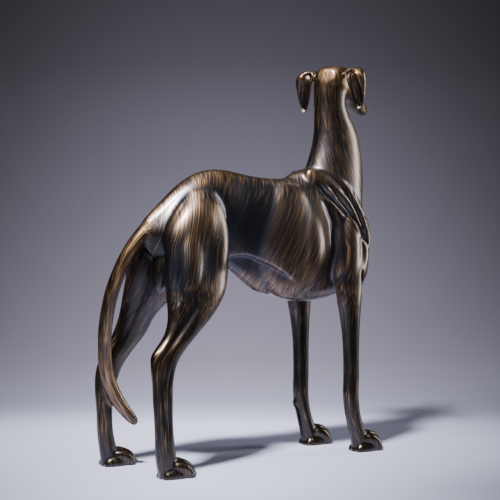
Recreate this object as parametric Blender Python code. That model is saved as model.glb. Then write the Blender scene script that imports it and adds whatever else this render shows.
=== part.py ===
"""Standing greyhound, cast in one piece, head turned to its left and tail hanging to the left hock.

The dog faces +X with its left side towards +Y, and stands on the ground at Z = 0.
All of its form is written as shares of HEIGHT, the height from the soles to the crown of the head.
"""

import math

import bmesh
import bpy
import numpy as np
from mathutils import Matrix, Vector

HEIGHT = 0.320
TRIANGLES = 9500

# Shares of HEIGHT.
CLAY_GRAIN = 0.0038
BODY_BLEND = 0.0150
DETAIL_BLEND = 0.0060
RINGS_PER_SPAN = 4
RING_POINTS = 28

RIGHT, LEFT = -1, 1


# Sections and lofts

def curve_through(stations):
    """Rows of numbers on a smooth curve through the given rows."""
    rows = [np.array(row, float) for row in stations]
    rows = [2 * rows[0] - rows[1], *rows, 2 * rows[-1] - rows[-2]]
    smooth = []
    for before, start, end, after in zip(rows, rows[1:], rows[2:], rows[3:]):
        for step in range(RINGS_PER_SPAN):
            t = step / RINGS_PER_SPAN
            smooth.append(
                0.5 * (2 * start + (end - before) * t
                       + (2 * before - 5 * start + 4 * end - after) * t ** 2
                       + (3 * start - before - 3 * end + after) * t ** 3)
            )
    smooth.append(rows[-2])
    return smooth


def swollen(half, other):
    """A half-axis with what the blending of the body draws in added to it."""
    return half + min(BODY_BLEND ** 2 / 8 * half / other ** 2, 0.2 * half)


def add_rings(clay, rings, place=Matrix.Identity(4)):
    """Skins a closed form over rings of points, with a flat end at each side."""
    loops = [[clay.verts.new(place @ Vector(point)) for point in ring] for ring in rings]
    for near, far in zip(loops, loops[1:]):
        for k in range(len(near)):
            after = (k + 1) % len(near)
            clay.faces.new((near[k], near[after], far[after], far[k]))
    clay.faces.new(loops[0][::-1])
    clay.faces.new(loops[-1])


def ellipse(centre, across, along, fullness=0.0):
    """Points round an ellipse with the two half-axes given as vectors, its corners filled out by fullness."""
    centre, across, along = Vector(centre), Vector(across), Vector(along)
    ring = []
    for k in range(RING_POINTS):
        turn = 2 * math.pi * k / RING_POINTS
        out = 1 + fullness * math.sin(2 * turn) ** 2
        ring.append(centre + (across * math.cos(turn) + along * math.sin(turn)) * out)
    return ring


def add_level_loft(clay, stations, place=Matrix.Identity(4)):
    """A limb of level oval sections. Each station is x, y, z, half length, half width."""
    rings = [
        ellipse((x, y, z), (swollen(long, wide), 0, 0), (0, swollen(wide, long), 0))
        for x, y, z, long, wide in curve_through(stations)
    ]
    add_rings(clay, rings, place)


def add_tube(clay, stations, side=(0, 1, 0), place=Matrix.Identity(4), fullness=0.0):
    """A strand of oval sections square to its path. Each station is x, y, z, depth, width along side."""
    rows = curve_through(stations)
    points = [Vector(row[:3]) for row in rows]
    rings = []
    for k, row in enumerate(rows):
        heading = (points[min(k + 1, len(points) - 1)] - points[max(k - 1, 0)]).normalized()
        across = (Vector(side) - heading * heading.dot(Vector(side))).normalized()
        depth, width = swollen(row[3], row[4]), swollen(row[4], row[3])
        rings.append(ellipse(points[k], across * width, heading.cross(across) * depth, fullness))
    add_rings(clay, rings, place)


def add_muscle(clay, start, end, breadth, thickness, side=(0, 1, 0), place=Matrix.Identity(4)):
    """An egg-shaped muscle from start to end, with half its breadth and half its thickness along side."""
    start, end = Vector(start), Vector(end)
    axis = (end - start) / 2
    across = (Vector(side) - axis * (axis.dot(Vector(side)) / axis.length_squared)).normalized()
    over = axis.cross(across).normalized()
    turn = Matrix((axis, over * breadth, across * thickness)).transposed().to_4x4()
    shape = place @ Matrix.Translation((start + end) / 2) @ turn
    bmesh.ops.create_icosphere(clay, subdivisions=4, radius=1.0, matrix=shape)


def mirrored(point, hand):
    """The point on the dog's left or right side, from its place on the left."""
    return (point[0], point[1] * hand, point[2])


# Trunk, neck and tail

TRUNK = (
    # x, top, bottom, half width, height of the widest line
    (-0.004, 0.586, 0.525, 0.022, 0.555),
    (0.030, 0.618, 0.490, 0.040, 0.560),
    (0.080, 0.664, 0.480, 0.054, 0.575),
    (0.125, 0.694, 0.480, 0.058, 0.600),
    (0.170, 0.709, 0.482, 0.057, 0.610),
    (0.215, 0.710, 0.472, 0.054, 0.610),
    (0.260, 0.703, 0.440, 0.054, 0.600),
    (0.300, 0.697, 0.412, 0.062, 0.585),
    (0.350, 0.694, 0.397, 0.074, 0.570),
    (0.400, 0.697, 0.386, 0.080, 0.560),
    (0.450, 0.712, 0.382, 0.080, 0.550),
    (0.500, 0.715, 0.386, 0.076, 0.550),
    (0.550, 0.710, 0.398, 0.070, 0.550),
    (0.596, 0.680, 0.418, 0.056, 0.550),
    (0.628, 0.630, 0.446, 0.038, 0.540),
    (0.645, 0.585, 0.490, 0.018, 0.535),
)

RIBS = ((0.375, 0.024, 0.690), (0.396, 0.024, 0.388), 0.112, 0.064)
RIBS_FRONT = ((0.428, 0.028, 0.655), (0.436, 0.030, 0.410), 0.060, 0.058)
THROAT_BASE = ((0.582, 0.000, 0.770), (0.600, 0.000, 0.490), 0.042, 0.050)
WITHERS = ((0.390, 0.000, 0.684), (0.525, 0.000, 0.724), 0.018, 0.032)

NECK = (
    # x, y, z, half length, half width
    (0.548, 0.000, 0.600, 0.086, 0.056),
    (0.549, 0.000, 0.650, 0.088, 0.058),
    (0.550, 0.000, 0.700, 0.088, 0.058),
    (0.556, 0.000, 0.740, 0.080, 0.053),
    (0.560, 0.000, 0.780, 0.071, 0.048),
    (0.559, 0.000, 0.820, 0.063, 0.043),
    (0.549, 0.001, 0.860, 0.051, 0.038),
    (0.543, 0.003, 0.895, 0.044, 0.036),
    (0.545, 0.004, 0.925, 0.044, 0.041),
    (0.547, 0.005, 0.952, 0.043, 0.042),
    (0.552, 0.005, 0.980, 0.028, 0.030),
)

TAIL = (
    # x, y, z, depth, width
    (0.072, 0.000, 0.615, 0.030, 0.032),
    (0.034, 0.000, 0.584, 0.0265, 0.0275),
    (-0.002, 0.003, 0.551, 0.0205, 0.0215),
    (-0.029, 0.008, 0.520, 0.0170, 0.0185),
    (-0.052, 0.015, 0.479, 0.0155, 0.0170),
    (-0.069, 0.026, 0.429, 0.0150, 0.0165),
    (-0.077, 0.036, 0.385, 0.0148, 0.0160),
    (-0.079, 0.050, 0.330, 0.0148, 0.0160),
    (-0.075, 0.061, 0.290, 0.0148, 0.0158),
    (-0.070, 0.069, 0.250, 0.0150, 0.0158),
    (-0.058, 0.073, 0.205, 0.0152, 0.0158),
    (-0.038, 0.072, 0.162, 0.0150, 0.0155),
    (-0.016, 0.069, 0.130, 0.0130, 0.0140),
    (0.003, 0.066, 0.108, 0.0100, 0.0110),
    (0.011, 0.065, 0.099, 0.0060, 0.0070),
)


def trunk_ring(x, top, bottom, wide, middle):
    """An egg-shaped upright section through the trunk."""
    ring = []
    for k in range(RING_POINTS):
        turn = 2 * math.pi * k / RING_POINTS
        reach = top - middle if math.sin(turn) > 0 else middle - bottom
        ring.append((x, wide * math.cos(turn), middle + reach * math.sin(turn)))
    return ring


def add_trunk(clay):
    add_rings(clay, [trunk_ring(*row) for row in curve_through(TRUNK)])
    for start, end, breadth, thickness in (RIBS, RIBS_FRONT):
        for hand in (RIGHT, LEFT):
            add_muscle(clay, mirrored(start, hand), mirrored(end, hand), breadth, thickness)
    add_muscle(clay, *WITHERS)
    add_muscle(clay, *THROAT_BASE)
    add_level_loft(clay, NECK)
    add_tube(clay, TAIL)


# Hind legs

HIND_LEGS = {
    # x, y, z, half length, half width, from the croup down to the pastern
    RIGHT: (
        (0.138, 0.030, 0.655, 0.040, 0.024),
        (0.124, 0.044, 0.615, 0.064, 0.038),
        (0.108, 0.054, 0.560, 0.080, 0.044),
        (0.106, 0.059, 0.505, 0.083, 0.043),
        (0.101, 0.065, 0.455, 0.081, 0.039),
        (0.092, 0.075, 0.410, 0.075, 0.035),
        (0.072, 0.085, 0.360, 0.056, 0.030),
        (0.043, 0.092, 0.320, 0.0410, 0.026),
        (0.010, 0.098, 0.285, 0.0375, 0.022),
        (-0.006, 0.101, 0.255, 0.0310, 0.0195),
        (-0.010, 0.103, 0.215, 0.0240, 0.0180),
        (-0.010, 0.104, 0.170, 0.0225, 0.0175),
        (-0.008, 0.104, 0.120, 0.0210, 0.0175),
        (-0.005, 0.104, 0.070, 0.0225, 0.0185),
        (-0.001, 0.104, 0.035, 0.0240, 0.0200),
        (0.004, 0.104, 0.000, 0.0220, 0.0190),
    ),
    LEFT: (
        (0.130, 0.030, 0.655, 0.040, 0.024),
        (0.120, 0.042, 0.615, 0.056, 0.036),
        (0.091, 0.054, 0.560, 0.078, 0.044),
        (0.079, 0.059, 0.505, 0.083, 0.043),
        (0.066, 0.065, 0.455, 0.080, 0.039),
        (0.052, 0.076, 0.405, 0.070, 0.035),
        (0.025, 0.088, 0.355, 0.047, 0.030),
        (0.006, 0.096, 0.310, 0.0425, 0.025),
        (-0.021, 0.100, 0.270, 0.0360, 0.0215),
        (-0.040, 0.102, 0.240, 0.0325, 0.0190),
        (-0.051, 0.103, 0.203, 0.0270, 0.0180),
        (-0.055, 0.104, 0.165, 0.0215, 0.0175),
        (-0.055, 0.104, 0.125, 0.0180, 0.0175),
        (-0.053, 0.104, 0.080, 0.0185, 0.0180),
        (-0.046, 0.104, 0.040, 0.0205, 0.0190),
        (-0.040, 0.104, 0.000, 0.0210, 0.0190),
    ),
}

HIND_MUSCLES = (
    # start and end as height, place from rear (-1) to front (1), place outwards; then breadth, thickness
    ((0.645, 0.40, 0.35), (0.440, 0.50, 0.36), 0.042, 0.033),
    ((0.600, -0.42, 0.42), (0.385, -0.35, 0.30), 0.038, 0.031),
    ((0.640, -0.15, 0.55), (0.500, 0.05, 0.50), 0.040, 0.031),
    ((0.440, -0.50, 0.20), (0.330, -0.55, 0.10), 0.022, 0.023),
    ((0.440, 0.45, 0.40), (0.290, 0.45, 0.35), 0.022, 0.021),
)

HEEL = {RIGHT: (-0.030, 0.100, 0.270), LEFT: (-0.066, 0.102, 0.238)}


def on_leg(stations, height, along, out, hand):
    """A point in a leg, by its height and its place in the section there."""
    rows = sorted(curve_through(stations), key=lambda row: row[2])
    levels = [row[2] for row in rows]
    x, y, long, wide = (np.interp(height, levels, [row[k] for row in rows]) for k in (0, 1, 3, 4))
    return Vector((x + along * long, (y + out * wide) * hand, height))


def add_hind_leg(clay, hand):
    legs = HIND_LEGS[hand]
    add_level_loft(clay, [(x, y * hand, z, long, wide) for x, y, z, long, wide in legs])
    for start, end, breadth, thickness in HIND_MUSCLES:
        add_muscle(clay, on_leg(legs, *start, hand), on_leg(legs, *end, hand), breadth, thickness)
    heel = Vector(mirrored(HEEL[hand], hand))
    add_muscle(clay, heel + Vector((0.002, 0, -0.026)), heel + Vector((0.012, 0, 0.022)), 0.016, 0.015)


# Forelegs and shoulders

FORELEG = (
    # x, y, z, half length, half width, from the elbow down to the pastern
    (0.534, 0.066, 0.520, 0.034, 0.020),
    (0.530, 0.070, 0.470, 0.044, 0.024),
    (0.522, 0.072, 0.425, 0.040, 0.025),
    (0.520, 0.074, 0.385, 0.034, 0.024),
    (0.523, 0.074, 0.335, 0.0265, 0.021),
    (0.525, 0.074, 0.284, 0.0220, 0.0180),
    (0.526, 0.074, 0.233, 0.0205, 0.0172),
    (0.526, 0.074, 0.183, 0.0205, 0.0172),
    (0.525, 0.074, 0.140, 0.0205, 0.0176),
    (0.530, 0.074, 0.100, 0.0198, 0.0176),
    (0.540, 0.074, 0.065, 0.0205, 0.0185),
    (0.550, 0.074, 0.035, 0.0220, 0.0200),
    (0.556, 0.074, 0.000, 0.0210, 0.0190),
)

FORE_STRIDE = {RIGHT: 0.026, LEFT: -0.025}
WRIST = {RIGHT: 0.152, LEFT: 0.112}

SHOULDER_MUSCLES = (
    # start, end, breadth, thickness
    ((0.440, 0.034, 0.716), (0.604, 0.062, 0.560), 0.042, 0.022),
    ((0.505, 0.040, 0.725), (0.612, 0.054, 0.560), 0.022, 0.021),
    ((0.602, 0.050, 0.600), (0.544, 0.072, 0.420), 0.026, 0.026),
    ((0.506, 0.056, 0.604), (0.499, 0.070, 0.420), 0.028, 0.024),
    ((0.552, 0.060, 0.618), (0.511, 0.080, 0.404), 0.034, 0.027),
    ((0.486, 0.073, 0.436), (0.500, 0.075, 0.406), 0.012, 0.014),
    ((0.594, 0.018, 0.650), (0.597, 0.032, 0.432), 0.031, 0.024),
    ((0.570, 0.016, 0.850), (0.600, 0.036, 0.600), 0.018, 0.019),
)


def stride_at(height, hand):
    """How far a foreleg is ahead at this height: nothing at the shoulder blade, all of it at the elbow."""
    share = max(0.0, min(1.0, (0.66 - height) / 0.20))
    return FORE_STRIDE[hand] * share


def add_foreleg(clay, hand):
    stations = [
        (x + FORE_STRIDE[hand], y * hand, z, long, wide) for x, y, z, long, wide in FORELEG
    ]
    add_level_loft(clay, stations)
    for start, end, breadth, thickness in SHOULDER_MUSCLES:
        ends = [
            Vector(mirrored(point, hand)) + Vector((stride_at(point[2], hand), 0, 0))
            for point in (start, end)
        ]
        add_muscle(clay, *ends, breadth, thickness)
    wrist = Vector((0.510 + FORE_STRIDE[hand], 0.075 * hand, WRIST[hand]))
    add_muscle(clay, wrist + Vector((0, 0, -0.012)), wrist + Vector((0, 0, 0.010)), 0.010, 0.010)


# Head

HEAD_TURN = math.radians(29)
HEAD_NOD = math.radians(9)
HEAD_PLACE = (0.556, 0.005, 0.953)

SKULL = (
    # u forwards, v to its left, w up, half height, half width
    (-0.050, 0, 0.002, 0.018, 0.022),
    (-0.036, 0, 0.001, 0.030, 0.037),
    (-0.005, 0, 0.001, 0.040, 0.045),
    (0.030, 0, 0.003, 0.042, 0.043),
    (0.060, 0, 0.000, 0.038, 0.037),
    (0.088, 0, -0.010, 0.029, 0.028),
    (0.120, 0, -0.017, 0.0240, 0.0215),
    (0.158, 0, -0.020, 0.0220, 0.0185),
    (0.188, 0, -0.021, 0.0195, 0.0170),
    (0.203, 0, -0.018, 0.0150, 0.0140),
    (0.211, 0, -0.015, 0.0080, 0.0070),
)

EAR = (
    # inner edge u, v, outer edge u, v, w, half thickness, from the fold down to the tip
    (-0.005, 0.044, -0.010, 0.078, 0.030, 0.008),
    (-0.020, 0.042, -0.016, 0.090, 0.022, 0.014),
    (-0.030, 0.044, -0.020, 0.096, 0.008, 0.017),
    (-0.032, 0.050, -0.018, 0.098, -0.008, 0.014),
    (-0.024, 0.054, -0.012, 0.096, -0.026, 0.011),
    (-0.014, 0.060, -0.006, 0.093, -0.046, 0.0095),
    (-0.008, 0.066, -0.004, 0.088, -0.064, 0.0080),
    (-0.006, 0.072, -0.004, 0.083, -0.078, 0.0050),
)


def head_frame():
    """Where the head sits, how far it is turned to its left and how far it nods."""
    turn = Matrix.Rotation(HEAD_TURN, 4, "Z") @ Matrix.Rotation(HEAD_NOD, 4, "Y")
    return Matrix.Translation(HEAD_PLACE) @ turn


def add_skull(clay):
    place = head_frame()
    add_tube(clay, SKULL, place=place, fullness=0.10)
    for hand in (RIGHT, LEFT):
        add_muscle(
            clay, mirrored((0.004, 0.026, -0.018), hand), mirrored((0.092, 0.016, -0.026), hand),
            0.016, 0.014, place=place,
        )
        add_muscle(
            clay, mirrored((0.030, 0.020, 0.030), hand), mirrored((0.088, 0.020, 0.010), hand),
            0.013, 0.013, place=place,
        )


def add_ear(clay, hand):
    place = head_frame()
    rings = []
    for u_in, v_in, u_out, v_out, w, thick in curve_through(EAR):
        inner, outer = Vector((u_in, v_in * hand, w)), Vector((u_out, v_out * hand, w))
        across = (outer - inner) / 2
        facing = Vector((-across.y, across.x, 0)).normalized()
        rings.append(ellipse((inner + outer) / 2, across, facing * thick))
    add_rings(clay, rings, place)
    add_muscle(
        clay, mirrored((0.010, 0.026, 0.012), hand), mirrored((-0.006, 0.066, 0.014), hand),
        0.014, 0.013, side=(1, 0, 0), place=place,
    )


def add_eyes_and_nose(clay):
    place = head_frame()
    for hand in (RIGHT, LEFT):
        add_muscle(
            clay, mirrored((0.074, 0.030, 0.006), hand), mirrored((0.092, 0.025, 0.002), hand),
            0.008, 0.007, place=place,
        )
    add_muscle(clay, (0.196, 0, -0.011), (0.216, 0, -0.014), 0.011, 0.0125, place=place)


# Paws

PAWS = (
    # x and y of the pastern, and how high the knuckles stand
    (0.582, -0.074, 0.040),
    (0.531, 0.074, 0.040),
    (0.006, -0.104, 0.032),
    (-0.038, 0.104, 0.030),
)
TOES = (
    # sideways place of the knuckle and of the tip, how far the tip reaches, share of the knuckle height
    (-0.0190, -0.0240, 0.044, 0.80),
    (-0.0068, -0.0085, 0.055, 1.00),
    (0.0068, 0.0085, 0.055, 1.00),
    (0.0190, 0.0240, 0.044, 0.80),
)


def add_paw(clay, x, y, knuckles):
    add_muscle(clay, (x - 0.026, y, 0.004), (x + 0.052, y, 0.002), 0.020, 0.027)
    for knuckle, tip, reach, share in TOES:
        height = knuckles * share
        stations = (
            (x - 0.004, y + knuckle * 0.4, height * 0.9, 0.011, 0.009),
            (x + reach * 0.40, y + knuckle, height, 0.0105, 0.0090),
            (x + reach * 0.78, y + tip * 0.95, height * 0.66, 0.0105, 0.0092),
            (x + reach, y + tip, 0.004, 0.0085, 0.0085),
        )
        add_tube(clay, stations)


# Grooves: lines pressed into the clay with a thumb or a tool

SIDE_GROOVES = (
    # half width on the left and on the right of the line, depth (below 0 is a ridge), how far out it
    # goes, then x and z along the line as seen from the dog's left side; the same on its right side
    (0.0100, 0.0090, 0.0060, 0.200, ((0.446, 0.664), (0.471, 0.640), (0.484, 0.610), (0.494, 0.580),
                                     (0.497, 0.539), (0.500, 0.501), (0.494, 0.464), (0.497, 0.413))),
    (0.0060, 0.0060, -0.0030, 0.200, ((0.449, 0.652), (0.471, 0.642), (0.493, 0.633), (0.512, 0.618),
                                      (0.525, 0.598), (0.538, 0.572))),
    (0.0055, 0.0050, 0.0065, 0.200, ((0.452, 0.694), (0.481, 0.661), (0.503, 0.641), (0.525, 0.616),
                                     (0.545, 0.598), (0.560, 0.580))),
    (0.0060, 0.0060, -0.0030, 0.200, ((0.462, 0.692), (0.484, 0.668), (0.500, 0.653), (0.516, 0.633),
                                      (0.532, 0.604), (0.554, 0.584), (0.571, 0.560), (0.587, 0.530),
                                      (0.597, 0.500))),
    (0.0060, 0.0060, 0.0080, 0.200, ((0.475, 0.692), (0.504, 0.664), (0.524, 0.641), (0.543, 0.621),
                                     (0.562, 0.596), (0.576, 0.571), (0.589, 0.550), (0.605, 0.524),
                                     (0.612, 0.490))),
    (0.0060, 0.0060, -0.0030, 0.200, ((0.510, 0.706), (0.543, 0.681), (0.562, 0.658), (0.582, 0.622),
                                      (0.595, 0.592), (0.608, 0.556), (0.622, 0.514))),
    (0.0050, 0.0045, 0.0050, 0.200, ((0.520, 0.678), (0.551, 0.650), (0.567, 0.625), (0.584, 0.592),
                                     (0.600, 0.560))),
    (0.0050, 0.0050, 0.0070, 0.200, ((0.560, 0.676), (0.590, 0.631), (0.603, 0.608), (0.615, 0.590))),
    (0.0060, 0.0060, 0.0080, 0.200, ((0.574, 0.470), (0.579, 0.442), (0.583, 0.416), (0.590, 0.385))),
    (0.0240, 0.0050, 0.0070, 0.200, ((0.135, 0.660), (0.163, 0.628), (0.180, 0.590), (0.190, 0.550),
                                     (0.194, 0.510), (0.192, 0.480))),
    (0.0060, 0.0380, 0.0085, 0.080, ((0.180, 0.470), (0.203, 0.485), (0.230, 0.494), (0.258, 0.494),
                                     (0.288, 0.482), (0.320, 0.465), (0.356, 0.444), (0.390, 0.424))),
    (0.0220, 0.0220, 0.0050, 0.200, ((-0.020, 0.548), (0.020, 0.590), (0.060, 0.626), (0.110, 0.656))),
)

HIND_GROOVES = (
    # half widths, depth, how far out it goes, then height and place from rear (-1) to front (1) along the line on a hind leg
    (0.0160, 0.0160, 0.0020, 0.200, ((0.600, -0.05), (0.540, 0.10), (0.480, 0.15), (0.420, 0.05))),
    (0.0090, 0.0090, 0.0050, 0.200, ((0.420, -0.10), (0.370, -0.25), (0.330, -0.45), (0.295, -0.45),
                              (0.262, -0.35))),
    (0.0050, 0.0050, 0.0030, 0.200, ((0.250, -0.30), (0.200, -0.30), (0.150, -0.25), (0.090, -0.20))),
    (0.0050, 0.0050, 0.0025, 0.200, ((0.250, 0.30), (0.200, 0.35), (0.140, 0.35))),
)


def polyline_distance(places, line):
    """Signed distance from each place to a line of points, positive on its left, and how far along."""
    line = np.array(line)
    steps = line[1:] - line[:-1]
    lengths = np.linalg.norm(steps, axis=1)
    best = np.full(len(places), np.inf)
    along = np.zeros(len(places))
    for k, (start, step, length) in enumerate(zip(line, steps, lengths)):
        share = np.clip((places - start) @ step / length ** 2, 0, 1)
        off = places - start - share[:, None] * step
        gap = np.linalg.norm(off, axis=1)
        closer = gap < np.abs(best)
        left = np.where(step[0] * off[:, 1] - step[1] * off[:, 0] > 0, 1, -1)
        best[closer] = (gap * left)[closer]
        along[closer] = (lengths[:k].sum() + share[closer] * length) / lengths.sum()
    return best, along


def press_groove(points, normals, hand, groove, line, reach):
    """Moves points on one side inwards along a line seen from that side, less towards its ends."""
    on_left, on_right, depth, limit = groove
    smooth = [tuple(row) for row in curve_through(line)]
    gap, along = polyline_distance(points[:, (0, 2)], smooth)
    width = np.where(gap > 0, on_left, on_right)
    out = points[:, 1] * hand
    facing = np.clip(normals[:, 1] * hand * 2.5, 0, 1) * np.clip(out / reach, 0, 1)
    facing *= np.clip((limit - out) / 0.015 + 1, 0, 1)
    ends = np.clip(np.minimum(along, 1 - along) / 0.3, 0, 1)
    ends = ends * ends * (3 - 2 * ends)
    points -= normals * (depth * ends * facing * np.exp(-(gap / width) ** 2))[:, None]


def press_grooves(mesh):
    """Presses all grooves into the mesh of the dog."""
    points = np.empty(len(mesh.vertices) * 3)
    mesh.vertices.foreach_get("co", points)
    points = points.reshape(-1, 3)
    normals = np.empty(len(mesh.vertices) * 3, np.float32)
    mesh.vertex_normals.foreach_get("vector", normals)
    normals = normals.reshape(-1, 3).astype(float)
    for hand in (RIGHT, LEFT):
        for *groove, line in SIDE_GROOVES:
            moved = [(x + (stride_at(z, hand) - stride_at(z, RIGHT)) * (x > 0.44), z) for x, z in line]
            press_groove(points, normals, hand, groove, moved, 0.03)
        for *groove, line in HIND_GROOVES:
            places = [on_leg(HIND_LEGS[hand], height, along, 0, hand) for height, along in line]
            moved = [(place.x, place.z) for place in places]
            press_groove(points, normals, hand, groove, moved, 0.06)
    mesh.vertices.foreach_set("co", points.ravel())
    mesh.update()


# Casting: the masses are pressed into one piece, like clay, and then thinned out

def press_together(clay, name, blend):
    """One object of all the masses in clay, merged at CLAY_GRAIN and smoothed as far as blend."""
    bmesh.ops.recalc_face_normals(clay, faces=clay.faces)
    mesh = bpy.data.meshes.new(name)
    clay.to_mesh(mesh)
    clay.free()
    piece = bpy.data.objects.new(name, mesh)
    bpy.context.scene.collection.objects.link(piece)
    merge = piece.modifiers.new("merge", "REMESH")
    merge.mode = "VOXEL"
    merge.voxel_size = CLAY_GRAIN
    soften = piece.modifiers.new("soften", "SMOOTH")
    soften.factor = 0.5
    soften.iterations = round((blend / CLAY_GRAIN) ** 2)
    return piece


def settled(piece):
    """The mesh that the piece's modifiers give; the piece itself is removed."""
    bpy.context.view_layer.update()
    graph = bpy.context.evaluated_depsgraph_get()
    mesh = bpy.data.meshes.new_from_object(piece.evaluated_get(graph))
    bpy.data.objects.remove(piece)
    return mesh


def model_body():
    """The large masses, blended well into each other."""
    clay = bmesh.new()
    add_trunk(clay)
    for hand in (RIGHT, LEFT):
        add_hind_leg(clay, hand)
        add_foreleg(clay, hand)
    add_skull(clay)
    add_muscle(clay, (0.052, -0.006, 0.530), (0.032, -0.004, 0.412), 0.026, 0.026)
    return settled(press_together(clay, "body_masses", BODY_BLEND))


def model_greyhound():
    """The whole dog in shares of its height, with the finer forms pressed onto the body."""
    clay = bmesh.new()
    clay.from_mesh(model_body())
    for hand in (RIGHT, LEFT):
        add_ear(clay, hand)
    for x, y, knuckles in PAWS:
        add_paw(clay, x, y, knuckles)
    add_eyes_and_nose(clay)
    mesh = settled(press_together(clay, "all_masses", DETAIL_BLEND))
    press_grooves(mesh)
    return mesh


def thin_out(mesh):
    """The mesh with about TRIANGLES triangles, most of them where the form turns most."""
    piece = bpy.data.objects.new("thinned", mesh)
    bpy.context.scene.collection.objects.link(piece)
    flat = piece.modifiers.new("triangles", "TRIANGULATE")
    flat.min_vertices = 4
    thin = piece.modifiers.new("thin", "DECIMATE")
    thin.ratio = TRIANGLES / (2 * len(mesh.polygons))
    return settled(piece)


def stand(mesh):
    """Cuts the soles flat on the ground and centres the dog over the origin, in metres."""
    dog = bmesh.new()
    dog.from_mesh(mesh)
    everything = dog.verts[:] + dog.edges[:] + dog.faces[:]
    cut = bmesh.ops.bisect_plane(
        dog, geom=everything, plane_co=(0, 0, 0), plane_no=(0, 0, 1), clear_inner=True
    )
    rims = [part for part in cut["geom_cut"] if isinstance(part, bmesh.types.BMEdge)]
    bmesh.ops.edgenet_fill(dog, edges=rims)
    bmesh.ops.recalc_face_normals(dog, faces=dog.faces)
    low = Vector(min(vert.co[axis] for vert in dog.verts) for axis in range(3))
    high = Vector(max(vert.co[axis] for vert in dog.verts) for axis in range(3))
    middle = (low + high) / 2
    size = HEIGHT / (high.z - low.z)
    for vert in dog.verts:
        vert.co = (vert.co - Vector((middle.x, middle.y, low.z))) * size
    bmesh.ops.triangulate(dog, faces=dog.faces)
    dog.to_mesh(mesh)
    dog.free()
    return mesh


def bronze():
    """Cast bronze with a dark brown patina."""
    material = bpy.data.materials.new("patinated_bronze")
    material.use_nodes = True
    shader = material.node_tree.nodes["Principled BSDF"]
    shader.inputs["Base Color"].default_value = (0.075, 0.050, 0.032, 1)
    shader.inputs["Metallic"].default_value = 1.0
    shader.inputs["Roughness"].default_value = 0.32
    return material


def main():
    for left_over in list(bpy.data.objects):
        bpy.data.objects.remove(left_over)
    mesh = stand(thin_out(model_greyhound()))
    mesh.name = "greyhound"
    mesh.materials.append(bronze())
    mesh.shade_smooth()
    greyhound = bpy.data.objects.new("greyhound", mesh)
    bpy.context.scene.collection.objects.link(greyhound)


main()
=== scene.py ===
"""Render scene of a standing greyhound: a bronze casting, patinated, brushed back and lacquered.

The dog faces +X with its left side towards +Y, and stands on the ground at Z = 0. Its form is
written as shares of its height, as its solid's is. It is pressed together here at a finer grain,
so that the creases, toes, nails and ears are crisp, and it is then fitted to the solid's box.
"""

import logging
import math
from dataclasses import dataclass, field
from enum import Enum
from typing import Iterable, Sequence

import bmesh
import bpy
import numpy as np
from mathutils import Matrix, Vector

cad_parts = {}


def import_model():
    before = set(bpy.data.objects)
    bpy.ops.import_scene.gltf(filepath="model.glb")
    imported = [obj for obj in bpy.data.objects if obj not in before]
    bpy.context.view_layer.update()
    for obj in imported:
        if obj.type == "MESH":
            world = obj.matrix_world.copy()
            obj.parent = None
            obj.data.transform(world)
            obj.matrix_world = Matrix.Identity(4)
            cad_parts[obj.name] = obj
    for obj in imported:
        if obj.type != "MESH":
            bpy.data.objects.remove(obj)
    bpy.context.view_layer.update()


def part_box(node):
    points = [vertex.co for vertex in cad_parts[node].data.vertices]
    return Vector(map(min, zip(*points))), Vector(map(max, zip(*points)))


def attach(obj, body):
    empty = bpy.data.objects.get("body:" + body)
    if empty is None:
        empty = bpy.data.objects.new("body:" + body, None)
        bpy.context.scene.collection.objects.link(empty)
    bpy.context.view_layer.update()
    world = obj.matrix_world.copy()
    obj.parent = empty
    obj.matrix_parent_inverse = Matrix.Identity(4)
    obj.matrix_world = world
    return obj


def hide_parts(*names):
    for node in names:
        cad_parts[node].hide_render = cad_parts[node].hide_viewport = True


log = logging.getLogger("greyhound")

Point = tuple[float, float, float]
Row = tuple[float, ...]
Pair = tuple[float, float]
SideLine = tuple[Pair, ...]

HEIGHT = 0.320

# Shares of the height.
BODY_GRAIN = 0.0030
SKIN_GRAIN = 0.0022
BODY_BLEND = 0.0150
DETAIL_BLEND = 0.0048

# Blending draws a limb in, by a part of its half-axis, and the limb is swollen to make up for it.
BLEND_DIVISOR = 8
MOST_SWELL = 0.2

SMOOTHING = 0.5
RINGS_PER_SPAN = 4
RING_POINTS = 32
BALL_STEPS = 4
MOST_TRIANGLES = 190_000

# Metres that the skin keeps inside the solid's box.
CLEARANCE = 1e-5


class Hand(Enum):
    """A side of the dog, as the sign of its Y."""

    RIGHT = -1
    LEFT = 1


BOTH_HANDS = (Hand.RIGHT, Hand.LEFT)


# Curves and numbers

def curve_through(stations: Iterable[Row]) -> list[np.ndarray]:
    """Rows of numbers on a smooth curve through the given rows.

    Args:
        stations: The rows that the curve passes through.

    Returns:
        The rows on the curve, from the first station to the last.
    """
    rows = [np.array(row, float) for row in stations]
    rows = [2 * rows[0] - rows[1], *rows, 2 * rows[-1] - rows[-2]]
    smooth = []
    for before, start, end, after in zip(rows, rows[1:], rows[2:], rows[3:]):
        for step in range(RINGS_PER_SPAN):
            t = step / RINGS_PER_SPAN
            smooth.append(
                0.5 * (2 * start + (end - before) * t
                       + (2 * before - 5 * start + 4 * end - after) * t ** 2
                       + (3 * start - before - 3 * end + after) * t ** 3)
            )
    smooth.append(rows[-2])
    return smooth


def eased(values: np.ndarray, start: float, end: float) -> np.ndarray:
    """0 before start and 1 after end, with a smooth step between them."""
    share = np.clip((values - start) / (end - start), 0, 1)
    return share * share * (3 - 2 * share)


def mirrored(point: Sequence[float], hand: Hand) -> Point:
    """The point on one side of the dog, from its place on the left."""
    return (point[0], point[1] * hand.value, point[2])


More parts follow.
